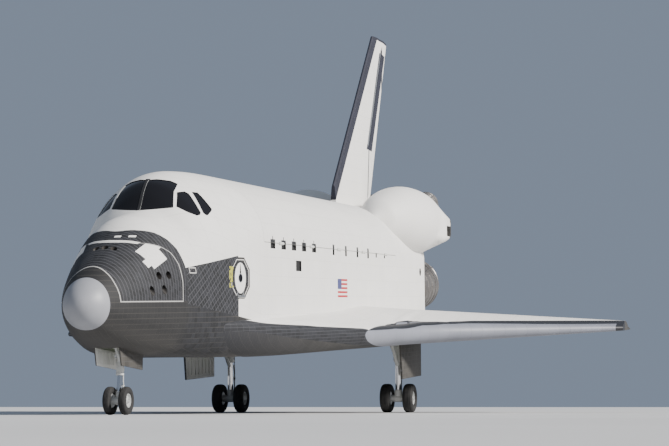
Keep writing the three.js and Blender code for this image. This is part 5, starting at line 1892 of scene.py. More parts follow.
class ORBITER_OT_hatch(bpy.types.Operator):
    """Round crew hatch in the port wall, with its window and hinge"""

    bl_idname = "orbiter.hatch"
    bl_label = "Crew hatch"

    def execute(self, context):
        _, out, centre = hatch_frame()
        lid = body_loft("hatch_lid", stepped(5.9, 8.1, 0.1))
        carve(lid, [body_loft("inside", stepped(5.8, 8.2, 0.1), CABIN_SHELL)])
        keep_inside(lid, hatch_plug("plug", HATCH["radius"], HATCH["taper"]))
        wedge = [(6.99, -0.36), (7.01, -0.36), (7.05, -0.66), (6.95, -0.66)]
        carve(lid, [
            rod("window_hole", centre - out * 0.030, centre + out * 0.1, 0.118, sides=48),
            side_prism("keyway", wedge, centre[1] - 0.014, centre[1] + 0.2),
        ])
        dressed(lid, "hatch_skin", "dark_paint_and_recess_shade", "cabin_lining")

        def recess(p):
            off, along = from_line(p, centre, out)
            return (off < 0.46) & (along < -0.004) & (along > -0.04)

        # Painted shade: the walls of the hatch's window hole and keyway are painted near black.
        paint(lid, 1, recess)
        paint(lid, 2, lambda p: from_line(p, centre, out)[1] < -0.15)
        glass = rod("hatch_glass", centre - out * 0.034, centre - out * 0.016, 0.117, sides=48)
        square = [(-0.03, 0.118), (0.006, 0.118), (0.006, 0.138), (-0.03, 0.138)]
        rim = turned("hatch_rim", square, centre, out, 48, closed=True)
        fittings = [dressed(piece, "bare_metal") for piece in [rim] + hatch_knuckles(True) + hatch_straps()]
        hatch = joined("hatch", [lid, dressed(glass, "window_glass")] + fittings)
        placed(hatch, "crew_hatch", ["crew_hatch"])
        return {"FINISHED"}


class ORBITER_OT_mid_body(bpy.types.Operator):
    """Body under the payload bay, with the bay's walls, ribs and sills"""

    bl_idname = "orbiter.mid_body"
    bl_label = "Mid body and payload bay"

    def execute(self, context):
        start, end, top = BAY_START + TOUCH, BAY_END - TOUCH, SILL - SEAM
        inner = [(BAY_HALF, top), (BAY_HALF, BAY_FLOOR + BAY_CHAMFER), (BAY_HALF - BAY_CHAMFER, BAY_FLOOR)]

        def ring(station):
            y, z = half_ring(station)
            low = [(a, b) for a, b in zip(y, z) if b < top]
            port = low + [(HALF_WIDTH, top)] + inner
            starboard = [(-a, b) for a, b in port[:0:-1]]
            return [(station, a, b) for a, b in port + starboard]

        body = loft("mid_body", [ring(s) for s in stepped(start, end, 0.30)])
        carve(body, both(joined("notches", door_knuckles(True, SEAM))))
        vents = [
            block("vent", (s - half, HALF_WIDTH - 0.06, low), (s + half, HALF_WIDTH + 0.1, 0.335))
            for half, low, _, _, stations in VENTS for s in stations
        ]
        vents.append(block("side_vent", (12.31, HALF_WIDTH - 0.06, -0.51), (12.98, HALF_WIDTH + 0.1, -0.16)))
        carve(body, both(joined("vents", vents)))
        dressed(body, "body_skin", "bay_lining", "dark_paint_and_recess_shade")
        paint(body, 1, region(beam=(-FAR, BAY_HALF + 0.002), z=(BAY_FLOOR - 0.002, top - 0.001)))
        paint(body, 1, region(beam=(-FAR, HALF_WIDTH - 0.01), z=(top - 0.002, FAR)))
        vent_span = (BAY_START + 0.2, BAY_END - 0.2)
        # The vents' walls are near black: partly the vents' own dark paint, partly painted shade in the
        # recess.
        paint(body, 2, region(depth=(0.004, FAR), beam=(BAY_HALF + 0.1, FAR), z=(-0.5, 0.34), s=vent_span))
        sill = [dressed(piece, "white_paint") for piece in door_knuckles(False)]
        sill += [mirrored(piece, "knuckle_other") for piece in sill]
        body = joined("mid_body", [body] + sill)
        placed(body, "airframe", ["mid_fuselage"], 30)
        self.ribs(inner)
        self.rails(start, end)
        return {"FINISHED"}

    def ribs(self, inner):
        """Frames round the bay's walls and floor, a step apart."""
        details = chosen("details")
        depth, thick, top = details.rib_depth, 0.05, SILL - 0.08
        corner = depth * 0.41
        wall = [(BAY_HALF, top)] + inner[1:]
        free = [
            (BAY_HALF - depth, top), (BAY_HALF - depth, BAY_FLOOR + BAY_CHAMFER + corner),
            (BAY_HALF - BAY_CHAMFER - corner, BAY_FLOOR + depth),
        ]
        wall, free = (side + [(-y, z) for y, z in side[::-1]] for side in (wall, free))
        outline = wall + free[::-1]
        first = BAY_START + 0.6
        step = (BAY_END - BAY_START - 1.2 - thick) / (details.ribs - 1)
        rib = prism("bay_ribs", outline, lambda p: (first, *p), lambda p: (first + thick, *p))
        repeated(rib, Count=details.ribs, Step=turned_down((step, 0, 0)), Finish=finish("bare_metal"))
        placed(rib, "airframe")

    def rails(self, start, end):
        """Rails and pipes along the bay's walls, and the keel rail."""
        rails = []
        for side in (1, -1):
            for y, z, radius in ((2.315, 0.24, 0.045), (2.325, -0.3, 0.022), (2.325, -0.42, 0.022)):
                rails.append(rod("rail", (start, side * y, z), (end, side * y, z), radius))
        rails.append(block("keel", (start, -0.12, BAY_FLOOR - 0.01), (end, 0.12, BAY_FLOOR + 0.05)))
        rails = dressed(joined("bay_rails", rails), "bare_metal")
        placed(rails, "airframe")


class ORBITER_OT_bay_doors(bpy.types.Operator):
    """Two long doors over the payload bay, with radiators inside"""

    bl_idname = "orbiter.bay_doors"
    bl_label = "Payload bay doors"

    def execute(self, context):
        rise = CROWN - SILL

        def arc(inset, low, high, count):
            width, height = HALF_WIDTH - inset, rise - inset
            turn = np.linspace(math.asin(low / height), math.acos(high / width), count)
            return [(width * math.cos(t), SILL + height * math.sin(t)) for t in turn]

        outline = arc(0.0, SEAM, SEAM, 56) + arc(DOOR_THICKNESS, SEAM, SEAM, 40)[::-1]
        stations = stepped(BAY_START + SEAM, BAY_END - SEAM, 0.9)
        door = loft("bay_door", [[(s, *p) for p in outline] for s in stations])
        carve(door, door_knuckles(False, SEAM))
        dressed(door, "body_skin", "bay_lining")
        paint(door, 1, region(depth=(0.04, FAR)))
        face = arc(DOOR_THICKNESS + 0.055, 0.45, 0.55, 30) + arc(DOOR_THICKNESS - 0.01, 0.45, 0.55, 30)[::-1]
        panels, gap = [], 0.04
        edges = np.linspace(BAY_START + 0.25, BAY_END - 0.25, 5)
        for first, last in zip(edges + gap, edges[1:] - gap):
            panels.append(prism("radiator", face, lambda p: (first, *p), lambda p: (last, *p)))
        radiators = dressed(joined("radiators", panels), "radiator")
        knuckles = [dressed(piece, "white_paint") for piece in door_knuckles(True)]
        door = joined("bay_door", [door, radiators] + knuckles)
        both_sides(door, "bay_door", "payload_door_{}", ["payload_door"], 30)
        return {"FINISHED"}


class ORBITER_OT_aft_body(bpy.types.Operator):
    """Aft body with its flared foot, engine pockets, flap lugs and heat shields"""

    bl_idname = "orbiter.aft_body"
    bl_label = "Aft body"

    def execute(self, context):
        body = body_loft("aft_body", stepped(BAY_END, BASE, 0.20))
        carve(body, both(self.skirt()), "UNION")
        reach = FLAP["half"] + 0.03
        radius = FLAP["radius"] + FLAP_GAP
        hinge, z = FLAP["hinge"], FLAP["z"]
        cuts = [rod("flap_channel", (hinge, -reach, z), (hinge, reach, z), radius, sides=64)]
        cuts += [pocket("engine_pocket", engine, MAIN_REACH, MAIN_BELL, 64) for engine in ENGINES.values()]
        inner, outer = (31.9, HALF_WIDTH - 0.08, -0.25), (31.9, HALF_WIDTH + 0.1, -0.25)
        carve(body, cuts + both(rod("ground_port", inner, outer, 0.17, sides=40)))
        dressed(body, "body_skin", "base_tile", "dark_paint_and_recess_shade", "bay_lining")
        paint(body, 1, region(s=(BASE - 0.004, FAR)))
        paint(body, 1, region(depth=(0.02, FAR), s=(31.9, FAR), z=(-FAR, -2.5), beam=(-FAR, 3.07)))
        # Painted shade: the walls of the ground port's hole are painted near black.
        paint(body, 2, region(depth=(0.004, 0.1), s=(-FAR, BASE - 0.01), z=(-0.5, FAR), beam=(2.5, FAR)))
        paint(body, 3, region(s=(-FAR, BAY_END + 0.002)))
        lugs, half, round_end = [], FLAP_LUG / 2, FLAP["radius"] - LUG_INSET
        for y in FLAP["lugs"]:
            lugs.append(hinge_disc("flap_lug", np.array([hinge, y, z]), ACROSS, round_end, FLAP_LUG))
            lugs.append(block("flap_lug_root", (BASE - 0.3, y - half, z - 0.12), (hinge, y + half, z + 0.12)))
        body = joined("aft_body", [body] + [dressed(piece, "dark_metal") for piece in lugs])
        placed(body, "airframe", ["aft_fuselage"], 30)
        self.shields()
        return {"FINISHED"}

    @staticmethod
    def shields():
        """Rounded heat shields round the engines, as (start, radius behind, radius of the hole)."""
        low = (1.28, 0.55, 0.66)
        shields = []
        for engine, (first, back, hole) in zip(ENGINES.values(), ((1.93, 0.70, 0.86), low, low)):
            gimbal, axis = nozzle_line(*engine)
            rise = [
                (first + 0.64 * math.sin(t), hole + 0.04 + (1.08 - hole) * math.cos(t))
                for t in np.linspace(0, math.pi / 2, 14)
            ]
            profile = [(first, back), *rise, (first + 0.63, hole)]
            shields.append(turned("shield", profile, gimbal, axis, 72, closed=True))
        placed(dressed(joined("engine_shields", shields), "base_tile"), "airframe")

    @staticmethod
    def skirt():
        """The flare low at the base, out to the width of the flap."""
        def ring(station, width, top, bottom):
            foot = [(2.3, bottom), (width - 0.05, bottom), (width, bottom + 0.04)]
            return [(station, y, z) for y, z in [*foot, (width, top - 0.16), (2.3, top)]]

        first = np.array([31.4, HALF_WIDTH - 0.06, -2.73, BELLY + 0.04])
        last = np.array([BASE, 3.11, -2.43, -3.17])
        return loft("skirt", [ring(*mix(first, last, t)) for t in np.linspace(0, 1, 12)])


class ORBITER_OT_wings(bpy.types.Operator):
    """Wings with white tops, black undersides, wheel wells and grey leading edge panels"""

    bl_idname = "orbiter.wings"
    bl_label = "Wings"

    def execute(self, context):
        rows = np.concatenate([np.linspace(2.1, 5.6, 36), np.linspace(5.75, WING_TIP, 30)])
        whole = loft("wing", [wing_ring(y) for y in rows])
        carve(whole, [body_core("core", 0.03)])
        edge = new_object("edge", whole.data.copy())
        keep_inside(edge, edge_band("band", 0.003))
        well = MAIN_WELL
        carve(whole, [
            edge_band("band", 0.0),
            block("well", (well["start"], well["inner"], -4.5), (well["end"], well["outer"], well["roof"])),
        ])
        dressed(whole, "wing_skin", "well_lining", "dark_metal")
        long, wide = (well["start"] - 0.01, well["end"] + 0.01), (well["inner"] - 0.01, well["outer"] + 0.01)
        paint(whole, 1, region(s=long, y=wide, z=(-3.18, -2.29)))
        paint(whole, 2, lambda p: abs(p[0] - (HINGE_STATION - hinge_radius(p[1]) - FLAP_GAP)) < 0.004)
        lugs = [dressed(piece, "dark_metal") for piece in elevon_lugs()]
        wing = joined("wing", [whole] + lugs)
        both_sides(wing, "wing", "airframe", ["wing"], 34)
        both_sides(dressed(edge, "carbon_edge"), "wing_edge", "airframe", ["wing_edge"], 34)
        return {"FINISHED"}


class ORBITER_OT_control_surfaces(bpy.types.Operator):
    """Elevons along the wings and the flap under the base"""

    bl_idname = "orbiter.control_surfaces"
    bl_label = "Elevons and body flap"

    def execute(self, context):
        for name, (start, end, _) in ELEVONS.items():
            surface = loft("elevon", [elevon_ring(y) for y in stepped(start, end, 0.5)])
            lugs = [(hinge_point(y), hinge_radius(y)) for y in lug_places(name)]
            self.slots(surface, HINGE_LINE, LUG_WIDTH, lugs)
            dressed(surface, "surface_skin")
            body = "elevon_" + name
            both_sides(surface, body, body + "_{}", [body])
        self.flap()
        return {"FINISHED"}

    def flap(self):
        """The flap, with a round nose in its channel under the base."""
        hinge, z, radius, half, end = (FLAP[k] for k in ("hinge", "z", "radius", "half", "end"))
        turn = np.linspace(0, math.pi, 25)
        outline = [(hinge - radius * math.sin(t), z + radius * math.cos(t)) for t in turn]
        outline += [(end, z - radius + 0.02), (end, z - radius + 0.09)]
        flap = loft("body_flap_skin", [[(s, y, h) for s, h in outline] for y in stepped(-half, half, 0.6)])
        self.slots(flap, ACROSS, FLAP_LUG, [(np.array([hinge, y, z]), radius) for y in FLAP["lugs"]])
        placed(dressed(flap, "base_tile"), "body_flap", ["body_flap"])

    @staticmethod
    def slots(surface, axis, width, lugs):
        """Cuts a slot round each lug, given as its place and the surface's radius there."""
        cuts = []
        for place, radius in lugs:
            cuts.append(hinge_disc("slot", place, axis, radius + SLOT_GAP, width + 2 * TOUCH, 56))
        carve(surface, [joined("slots", cuts)])


class ORBITER_OT_fin(bpy.types.Operator):
    """Upright fin, with the rudder's two panels on their shaft"""

    bl_idname = "orbiter.fin"
    bl_label = "Fin and rudder"

    def execute(self, context):
        levels = [2.2, 4.0, 6.0, 8.0, 10.0, FIN_TIP_Z - 0.10, FIN_TIP_Z]
        whole = loft("fin", [fin_ring(z) for z in levels])
        under = [(BASE, 2.0), (36.0, 2.0), (36.0, 4.55), (BASE, 2.62)]
        panel = new_object("panel", whole.data.copy())
        carve(whole, [
            side_prism("rudder_place", rudder_outline(1, 0), -0.9, 0.9),
            side_prism("over_engine", under, -0.9, 0.9),
            block("ahead", (20.0, -0.9, 0.0), (BAY_END + 0.06, 0.9, 6.0)),
            block("below", (20.0, -1.5, -4.0), (40.0, 1.5, 2.3)),
        ])
        carve(whole, [body_core("core", 0.02, BAY_END - 0.3, BASE + 0.0002)])
        placed(dressed(whole, "fin_skin"), "airframe", ["vertical_fin"])

        flange = 0.0194
        keep_inside(panel, side_prism("half", rudder_outline(0, 2 * TOUCH + flange), SEAM, 0.9))
        carve(panel, [self.axle("clear", (-0.2, 0.2), (-0.2, 0.2), 0.009, 72)])
        dressed(panel, "fin_skin")
        both_sides(panel, "rudder_panel", "speed_brake_{}", ["rudder_panel"])
        foot, above = (fin_axis_point(RUDDER_BOTTOM, TOUCH + rise) for rise in (0, flange))
        shaft = [
            self.axle("rudder_shaft", (TOUCH, -FLAP_GAP), (0, 0), 0.016, 48),
            rod("flange", foot, above, fin_half(RUDDER_BOTTOM) - 0.001, sides=48),
        ]
        shaft = dressed(joined("rudder_shaft_metal", shaft), "bare_metal")
        placed(shaft, "rudder", ["rudder_shaft"])
        return {"FINISHED"}

    @staticmethod
    def axle(name, shifts, levels, inset, sides):
        """A tapered rod on the rudder's hinge line, a little thinner than the fin."""
        ends = [fin_axis_point(z, shift) for z, shift in zip((RUDDER_BOTTOM, RUDDER_TOP), shifts)]
        radii = [fin_half(z + rise) - inset for z, rise in zip((RUDDER_BOTTOM, RUDDER_TOP), levels)]
        return rod(name, *ends, *radii, sides=sides)


class ORBITER_OT_pods(bpy.types.Operator):
    """Rounded pods on the shoulders, with their thruster housings"""

    bl_idname = "orbiter.pods"
    bl_label = "Manoeuvring pods"

    def execute(self, context):
        start, end = POD[0, 0], POD[-1, 0]
        nose = start - POD_TIP_AHEAD + np.linspace(0.03, 1, 14) ** 2 * POD_TIP_LENGTH
        pod = loft("pod", [pod_ring(s) for s in [*nose, *stepped(start + 0.5, end, 0.10)]])
        housing = [housing_ring(s) for s in stepped(HOUSING[0][0], HOUSING[-1][0], 0.15)]
        carve(pod, [loft("housing", housing)], "UNION")
        carve(pod, [
            block("beside_fin", (26.0, -3.0, 0.0), (36.0, 0.38, 6.0)),
            block("beside_engine", (BASE, -3.0, 0.0), (36.0, 1.25, 6.0)),
        ])
        carve(pod, [body_core("core", 0.02, BAY_END - 0.5, BASE + 0.0002)])
        carve(pod, [pocket("pod_pocket", POD_ENGINE, POD_REACH, POD_BELL, 48)])
        cups, holes = self.ports()
        carve(pod, [joined("holes", holes)])
        softened(pod, 0.035, 3, 50)
        dressed(pod, "smooth_white", "port_metal", "base_tile")
        paint(pod, 2, region(s=(end - 0.03, FAR)))
        paint(pod, 1, region(s=(32.43, 33.49), y=(3.55, 3.645), z=(1.33, 1.77)))
        paint(pod, 1, region(s=(32.6, 33.6), y=(3.15, 3.47), z=(2.10, 2.225)))
        paint(pod, 1, region(s=(32.7, 33.4), y=(3.10, 3.45), z=(1.16, 1.33)))
        paint(pod, 1, region(s=(33.45, 33.60), y=(3.01, 3.29), z=(1.30, 2.00)))
        pod = joined("pod", [pod] + [dressed(cup, "port_metal") for cup in cups])
        both_sides(pod, "pod", "airframe", ["manoeuvring_pod"], 30)

        nozzle = bell("pod_bell", POD_ENGINE, POD_REACH, POD_BELL, 0.035, 3, 72)
        both_sides(dressed(nozzle, "bell_metal"), "pod_bell", "airframe", ["pod_nozzle"])
        return {"FINISHED"}

    @staticmethod
    def ports():
        """The thrusters' cups in a recess at the side, and the flared holes above, below and behind."""
        cup = [(0.0, 0.10), (0.10, 0.11), (0.10, 0.095), (0.02, 0.05), (0.02, 0.002)]
        cups = [turned("cup", cup, (s, 3.52, 1.55), (0, 1, -0.1), 28) for s in (32.90, 33.12, 33.34)]
        holes = [block("side_ports", (32.42, 3.60, 1.32), (33.50, 4.0, 1.78))]
        lines = [((s, 3.30, 2.12), (s, 3.36, 2.5), 0.05, 0.12) for s in (32.80, 33.10, 33.40)]
        lines += [((s, 3.25, 1.30), (s, 3.30, 0.95), 0.05, 0.12) for s in (32.85, 33.15)]
        lines += [((33.50, 3.15, z), (33.80, 3.15, z), 0.06, 0.13) for z in (1.45, 1.85)]
        holes += [rod("port", *line, sides=28) for line in lines]
        return cups, holes


class ORBITER_OT_engines(bpy.types.Operator):
    """Three main engine bells with bands round them"""

    bl_idname = "orbiter.engines"
    bl_label = "Main engines"

    def execute(self, context):
        for name, engine in ENGINES.items():
            made = bell(name + "_bell", engine, MAIN_REACH, MAIN_BELL, 0.06, chosen("details").bell_bands, 96)
            gimbal, axis = nozzle_line(*engine)
            side, up = square_to(axis)

            def round_axis(d, radius, angle):
                out = radius * (math.cos(angle) * side + math.sin(angle) * up)
                return gimbal + axis * (MAIN_REACH - d) + out

            loop = [round_axis(0.05, 1.135, t) for t in np.linspace(0, 2 * math.pi, 64)]
            pipes = [tube_along("rim_pipe", loop, 0.035, 10)]
            for angle in (0.7, 2.4, 4.1):
                run = [round_axis(d, r + 0.045, angle) for d, r in smooth_line(MAIN_BELL, 24)[:19]]
                pipes.append(tube_along("drain", run, 0.022, 8))
            made = joined(name + "_bell", [made] + pipes)
            placed(dressed(made, "bell_metal"), "airframe", [name])
        return {"FINISHED"}


def bolts(name, radius, place, size=0.014):
    """A ring of bolts round an axle at a place of the airframe."""
    bolt = rod(name, airframe((0, 0, -size)), airframe((0, 0, size)), size, sides=6)
    return repeated(
        bolt, True, Count=chosen("details").bolts, Radius=radius, Turn=(math.pi / 2, 0, 0),
        Place=tuple(float(v) for v in row(place)), Finish=finish("bare_metal"),
    )


def wheels_and_bolts(name, station, y, z, wheel):
    """A pair of rims with their bolts, and the two tyres."""
    rims = dressed(wheel_pair(name, station, y, z, wheel), "wheel_paint")
    reach = wheel["gap"] + wheel["width"] / 2 * BEAD
    around = [
        bolts("bolts", wheel["rim"] * share, (station, y + side * (reach - deep), z), wheel["rim"] * 0.05)
        for side in (1, -1) for share, deep in ((0.26, 0.0), (0.90, 0.006))
    ]
    rims = joined(name, [rims] + around)
    tyres = [tyre(name + "_tyre", station, y + side * wheel["gap"], z, wheel) for side in (1, -1)]
    return rims, [dressed(piece, "rubber") for piece in tyres]


class ORBITER_OT_main_gear(bpy.types.Operator):
    """Main legs with their braces, wheels, tyres and doors"""

    bl_idname = "orbiter.main_gear"
    bl_label = "Main landing gear"

    def execute(self, context):
        s, y, top = MAIN_STATION, MAIN_Y, MAIN_WELL["roof"] - TOUCH
        axle = axle_at(s, MAIN_WHEEL)
        both_sides(self.leg(s, y, top, axle), "main_leg", "airframe", ["main_gear_leg"])
        rims, tyres = wheels_and_bolts("main_rims", s, y, axle, MAIN_WHEEL)
        both_sides(rims, "main_rims", "main_wheels_{}", ["main_wheels"])
        nodes = ["main_tyre_inner", "main_tyre_outer"]
        both_sides(joined("main_tyres", tyres), "main_tyres", "main_wheels_{}", nodes, 50)
        both_sides(self.door(), "main_door", "airframe", ["main_gear_door"])
        return {"FINISHED"}

    @staticmethod
    def leg(s, y, top, axle):
        """The strut with its braces, folding link and hoses."""
        def pad(station, across):
            low, high = (station - 0.09, across - 0.08, top - 0.13), (station + 0.09, across + 0.08, top)
            return softened(block("pad", low, high), 0.012, 2)

        def pin(ahead, z, half, radius):
            return rod("link_pin", (s + ahead, y - half, z), (s + ahead, y + half, z), radius)

        up, reach = (0, 0, 1), top - LEG_SPLIT
        barrel = [
            (0, 0.135), (0, 0.168), (0.10, 0.172), (0.115, 0.162), (0.55, 0.162), (0.565, 0.172),
            (0.66, 0.172), (0.675, 0.162), (1.10, 0.162), (1.115, 0.170), (1.18, 0.170), (1.195, 0.162),
            (reach, 0.162), (reach, 0.02),
        ]
        foot = [(0.05, 0.11), (0.12, 0.150), (0.30, 0.150), (0.34, 0.118), (0.34, 0.02)]
        knee_z, link_ends = -4.55, ((0.19, -4.02), (0.18, axle + 0.20))
        painted = [
            turned("barrel", barrel, (s, y, LEG_SPLIT), up, 40),
            cross_tube("cross_tube", s, y, axle, MAIN_WHEEL),
            turned("foot", foot, (s, y, axle), up, 36),
            rod("drag", (s - 0.06, y, -4.05), (s - 1.9, y, top - 0.08), 0.058, sides=24),
            rod("drag_fork", (s - 0.14, y, -4.0), (s - 0.62, y, -3.57), 0.075, 0.062, sides=24),
            pad(s - 1.9, y),
            rod("stay", (s, y - 0.09, -3.7), (s, 2.81, top - 0.08), 0.053, sides=24),
            pad(s, 2.81),
            *(pin(ahead, z, 0.11, 0.030) for ahead, z in link_ends), pin(0.50, knee_z, 0.05, 0.036),
        ]
        hoses = []
        knots = [(axle + 0.08, 0.12), (-4.9, 0.24), (-4.4, 0.30), (-3.95, 0.21), (-3.3, 0.19), (-2.6, 0.16)]
        for side in (-1, 1):
            for ahead, z in link_ends:
                end, knee = (s + ahead, y + side * 0.085, z), (s + 0.50, y + side * 0.02, knee_z)
                painted.append(rod("link", end, knee, 0.030, 0.022, sides=14))
                root = y + side * 0.07
                painted.append(rod("link_root", (s + 0.05, root, z), (s + ahead, root, z), 0.034, sides=14))
            run = [(s + a, y + side * (0.10 + 0.02 * math.sin(z * 3)), z) for z, a in smooth_line(knots, 40)]
            hoses.append(tube_along("hose", run, 0.014, 8))
        piston = rod("piston", (s, y, axle + 0.2), (s, y, LEG_SPLIT + 0.05), 0.112, sides=40)
        parts = [dressed(p, "gear_paint") for p in painted] + [dressed(piston, "polished_metal")]
        return joined("main_leg", parts + [dressed(p, "rubber") for p in hoses])

    @staticmethod
    def door():
        """The door hanging at the well's outer side, with bars on its inner face."""
        start, end, outer = (MAIN_WELL[k] for k in ("start", "end", "outer"))
        top, face = wing_bottom(outer) + 0.04, outer - TOUCH
        foot, inside = top - 1.33, face - 0.09
        outline = [(start + 0.015, top), (end - 0.015, top), (end - 0.06, foot), (start + 0.22, foot)]
        door = softened(side_prism("main_door", outline, inside, face), 0.012, 2)
        dressed(door, "door_tile", "white_paint")
        paint(door, 1, region(y=(-FAR, face - 0.055)))
        bars = [
            block("bar", (s, inside - 0.03, foot + 0.10), (s + 0.06, inside + 0.01, top - 0.12))
            for s in start + 0.30 + 0.42 * np.arange(8)
        ]
        bars += [
            block("rail", (start + 0.26, inside - 0.022, z), (end - 0.12, inside + 0.01, z + 0.05))
            for z in (foot + 0.12, top - 0.60, top - 0.18)
        ]
        return joined("main_door", [door, dressed(joined("bars", bars), "white_paint")])


class ORBITER_OT_nose_gear(bpy.types.Operator):
    """Nose strut with its steering fork, wheels, tyres and doors"""

    bl_idname = "orbiter.nose_gear"
    bl_label = "Nose landing gear"

    def execute(self, context):
        roof = NOSE_WELL["roof"] - TOUCH
        axle = axle_at(NOSE_STATION, NOSE_WHEEL)
        top, foot = np.array([3.33, 0, roof]), np.array([NOSE_STATION, 0, axle])
        along = unit(foot - top)
        split = mix(top, foot, 0.62)
        self.strut(top, foot, split, along, roof)
        self.fork(foot, split, along, axle)
        rims, tyres = wheels_and_bolts("nose_rims", NOSE_STATION, 0.0, axle, NOSE_WHEEL)
        placed(rims, "nose_wheels", ["nose_wheels"])
        tyres = joined("nose_tyres", tyres)
        placed(tyres, "nose_wheels", ["nose_tyre_left", "nose_tyre_right"], 50)
        both_sides(self.door(), "nose_door", "airframe", ["nose_gear_door"])
        return {"FINISHED"}

    @staticmethod
    def strut(top, foot, split, along, roof):
        """The fixed barrel with its folding brace and two lamps."""
        reach = float(np.dot(split - top, along))
        barrel = turned("barrel", [
            (-0.15, 0.02), (-0.15, 0.102), (0.30, 0.102), (0.31, 0.112), (0.38, 0.112), (0.39, 0.102),
            (reach - 0.16, 0.102), (reach - 0.15, 0.116), (reach - 0.02, 0.116), (reach, 0.108),
            (reach, 0.02),
        ], top, along, 36)
        carve(barrel, [block("over_roof", (1.0, -1, roof), (5.0, 1, roof + 2))])
        start = NOSE_WELL["start"]
        pad = block("foothold", (start + 0.15, -0.12, roof - 0.13), (start + 0.37, 0.12, roof))
        knee, brace_top = mix(top, foot, 0.5), np.array([start + 0.26, 0, roof - 0.06])
        pieces = [
            barrel, softened(pad, 0.012, 2), rod("brace", knee, brace_top, 0.046, sides=24),
            rod("brace_joint", mix(knee, brace_top, 0.46), mix(knee, brace_top, 0.56), 0.060, sides=24),
            rod("brace_pin", brace_top + [0, -0.10, 0], brace_top + [0, 0.10, 0], 0.030),
            rod("knee_pin", knee + [0, -0.13, 0], knee + [0, 0.13, 0], 0.040),
        ]
        lamp = [(0, 0.02), (0.02, 0.055), (0.06, 0.062), (0.068, 0.055), (0.06, 0.002)]
        spots = [mix(top, foot, 0.40) + [-0.08, side * 0.09, 0] for side in (-1, 1)]
        lamps = [turned("lamp", lamp, spot, (-1, 0, -0.05), 28) for spot in spots]
        parts = [dressed(p, "gear_paint") for p in pieces] + [dressed(p, "bare_metal") for p in lamps]
        placed(joined("nose_strut", parts), "airframe", ["nose_gear_leg"])

    @staticmethod
    def fork(foot, split, along, axle):
        """The steered part: a collar, the sliding strut, its folding link and the axle's tube."""
        start = split + along * 0.09
        reach = float(np.dot(foot - start, along))
        collar = [(TOUCH, 0.02), (TOUCH, 0.108), (0.012, 0.118), (0.078, 0.118), (0.09, 0.108), (0.09, 0.02)]
        sleeve = [(reach - 0.26, 0.02), (reach - 0.26, 0.082), (reach - 0.10, 0.086), (reach - 0.06, 0.066)]
        painted = [
            turned("collar", collar, split, along, 36), turned("foot", sleeve, start, along, 32),
            cross_tube("cross_tube", NOSE_STATION, 0.0, axle, NOSE_WHEEL),
        ]
        knee = mix(start, foot, 0.42) + [0.26, 0, 0]
        high, low = start - along * 0.045 + [0.10, 0, 0], mix(start, foot, 0.80) + [0.06, 0, 0]
        for side in (-1, 1):
            out = np.array([0, side * 0.055, 0])
            for end in (high, low):
                painted.append(rod("link", end + out, knee + out * 0.5, 0.022, 0.016, sides=14))
        painted.append(rod("knee_pin", knee + [0, -0.05, 0], knee + [0, 0.05, 0], 0.022))
        piston = rod("piston", start, mix(start, foot, 0.85), 0.070, sides=36)
        parts = [dressed(p, "gear_paint") for p in painted] + [dressed(piston, "polished_metal")]
        placed(joined("nose_fork", parts), "nose_fork", ["nose_gear_fork"])

    @staticmethod
    def door():
        """The door hanging at the well's side, with bars on its inner face."""
        start, end, y = NOSE_WELL["start"], NOSE_WELL["end"], NOSE_WELL["half"] - TOUCH
        outline = [(start + 0.015, -2.78), (end - 0.015, -2.98), (end - 0.06, -3.48), (start + 0.15, -3.29)]
        door = softened(side_prism("nose_door", outline, y - 0.05, y), 0.008, 2)
        dressed(door, "door_tile", "white_paint")
        paint(door, 1, region(y=(-FAR, y - 0.03)))
        bars = []
        for k in range(6):
            s, drop = start + 0.22 + 0.28 * k, 0.02 * k
            bars.append(block("bar", (s, y - 0.07, -3.24 - drop), (s + 0.04, y - 0.04, -2.90 - drop)))
        return joined("nose_door", [door, dressed(joined("bars", bars), "white_paint")])


# The stage in the row frame: the nose tip over the floor, where the camera looks, the way of the light.
NOSE_TIP = (18.25, 0, 0)
LOOK_AT = (5.2, 3.75, 6.4)
SUNLIGHT = (-0.16, -0.85, -0.49)


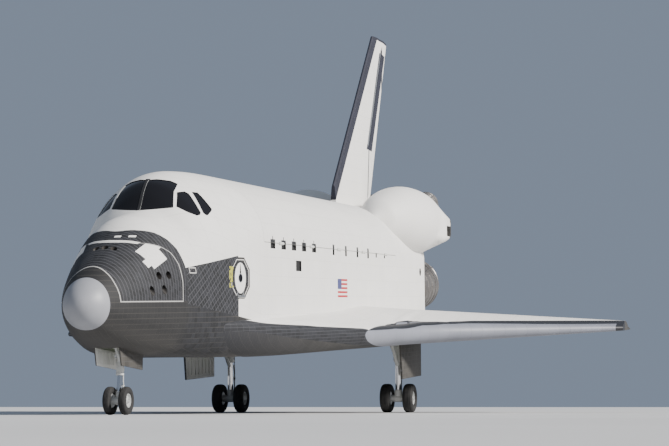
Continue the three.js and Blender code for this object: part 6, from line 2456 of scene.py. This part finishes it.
class ORBITER_OT_stage(bpy.types.Operator):
    """Open floor, sky, key light and camera"""

    bl_idname = "orbiter.stage"
    bl_label = "Stage"

    def execute(self, context):
        given, half = chosen("stage"), 400.0
        mesh = bpy.data.meshes.new("floor")
        places = [(x * half, y * half, 0) for x, y in ((-1, -1), (1, -1), (1, 1), (-1, 1))]
        mesh.from_pydata(places, [], [(0, 1, 2, 3)])
        floor = dressed(new_object("floor", mesh), "floor")
        self.sky(context.scene, given.sky)
        self.sun(given)
        self.camera(context.scene, given)
        return {"FINISHED"}

    @staticmethod
    def sky(scene, strength):
        world = bpy.data.worlds.new("sky")
        world.use_nodes = True
        back = world.node_tree.nodes["Background"]
        back.inputs["Color"].default_value = (0.50, 0.61, 0.80, 1)
        back.inputs["Strength"].default_value = strength
        scene.world = world

    @staticmethod
    def sun(given):
        lamp = bpy.data.lights.new("key", "SUN")
        lamp.energy = given.sun
        lamp.angle = math.radians(7)
        lamp.color = (1.0, 0.965, 0.92)
        made = bpy.data.objects.new("key", lamp)
        bpy.context.scene.collection.objects.link(made)
        made.rotation_euler = Vector(SUNLIGHT).to_track_quat("-Z", "Y").to_euler()

    @staticmethod
    def camera(scene, given):
        lens = bpy.data.cameras.new("camera")
        lens.lens = given.lens
        lens.sensor_width = 36
        lens.clip_end = 2000
        made = bpy.data.objects.new("camera", lens)
        scene.collection.objects.link(made)
        away = Vector((math.cos(given.azimuth), math.sin(given.azimuth), 0)) * given.distance
        made.location = Vector(NOSE_TIP) + away
        made.location.z = given.eye
        aim = Vector(LOOK_AT) - made.location
        made.rotation_euler = aim.to_track_quat("-Z", "Y").to_euler()
        scene.camera = made


OPERATORS = (
    ORBITER_OT_nose_cap, ORBITER_OT_forward_body, ORBITER_OT_thruster_module, ORBITER_OT_windows,
    ORBITER_OT_hatch, ORBITER_OT_mid_body, ORBITER_OT_bay_doors, ORBITER_OT_aft_body, ORBITER_OT_wings,
    ORBITER_OT_control_surfaces, ORBITER_OT_fin, ORBITER_OT_pods, ORBITER_OT_engines, ORBITER_OT_main_gear,
    ORBITER_OT_nose_gear, ORBITER_OT_stage,
)


class ORBITER_PT_sidebar(bpy.types.Panel):
    """Lists the orbiter's pieces, sizes and colours"""

    bl_label = "Orbiter"
    bl_idname = "ORBITER_PT_sidebar"
    bl_space_type = "VIEW_3D"
    bl_region_type = "UI"
    bl_category = "Orbiter"

    def draw(self, context):
        for operator in OPERATORS:
            self.layout.operator(operator.bl_idname)
        for name, group in GROUPS.items():
            box = self.layout.box()
            box.label(text=name.replace("_", " ").capitalize())
            for key in group.__annotations__:
                box.prop(getattr(context.scene, name), key)


CLASSES = (*GROUPS.values(), *OPERATORS, ORBITER_PT_sidebar)


def register():
    for cls in CLASSES:
        bpy.utils.register_class(cls)
    for name, group in GROUPS.items():
        setattr(bpy.types.Scene, name, bpy.props.PointerProperty(type=group))


def unregister():
    for name in GROUPS:
        delattr(bpy.types.Scene, name)
    for cls in reversed(CLASSES):
        bpy.utils.unregister_class(cls)


def main():
    register()
    for operator in OPERATORS:
        group, name = operator.bl_idname.split(".")
        getattr(getattr(bpy.ops, group), name)()


if __name__ == "__main__":
    main()
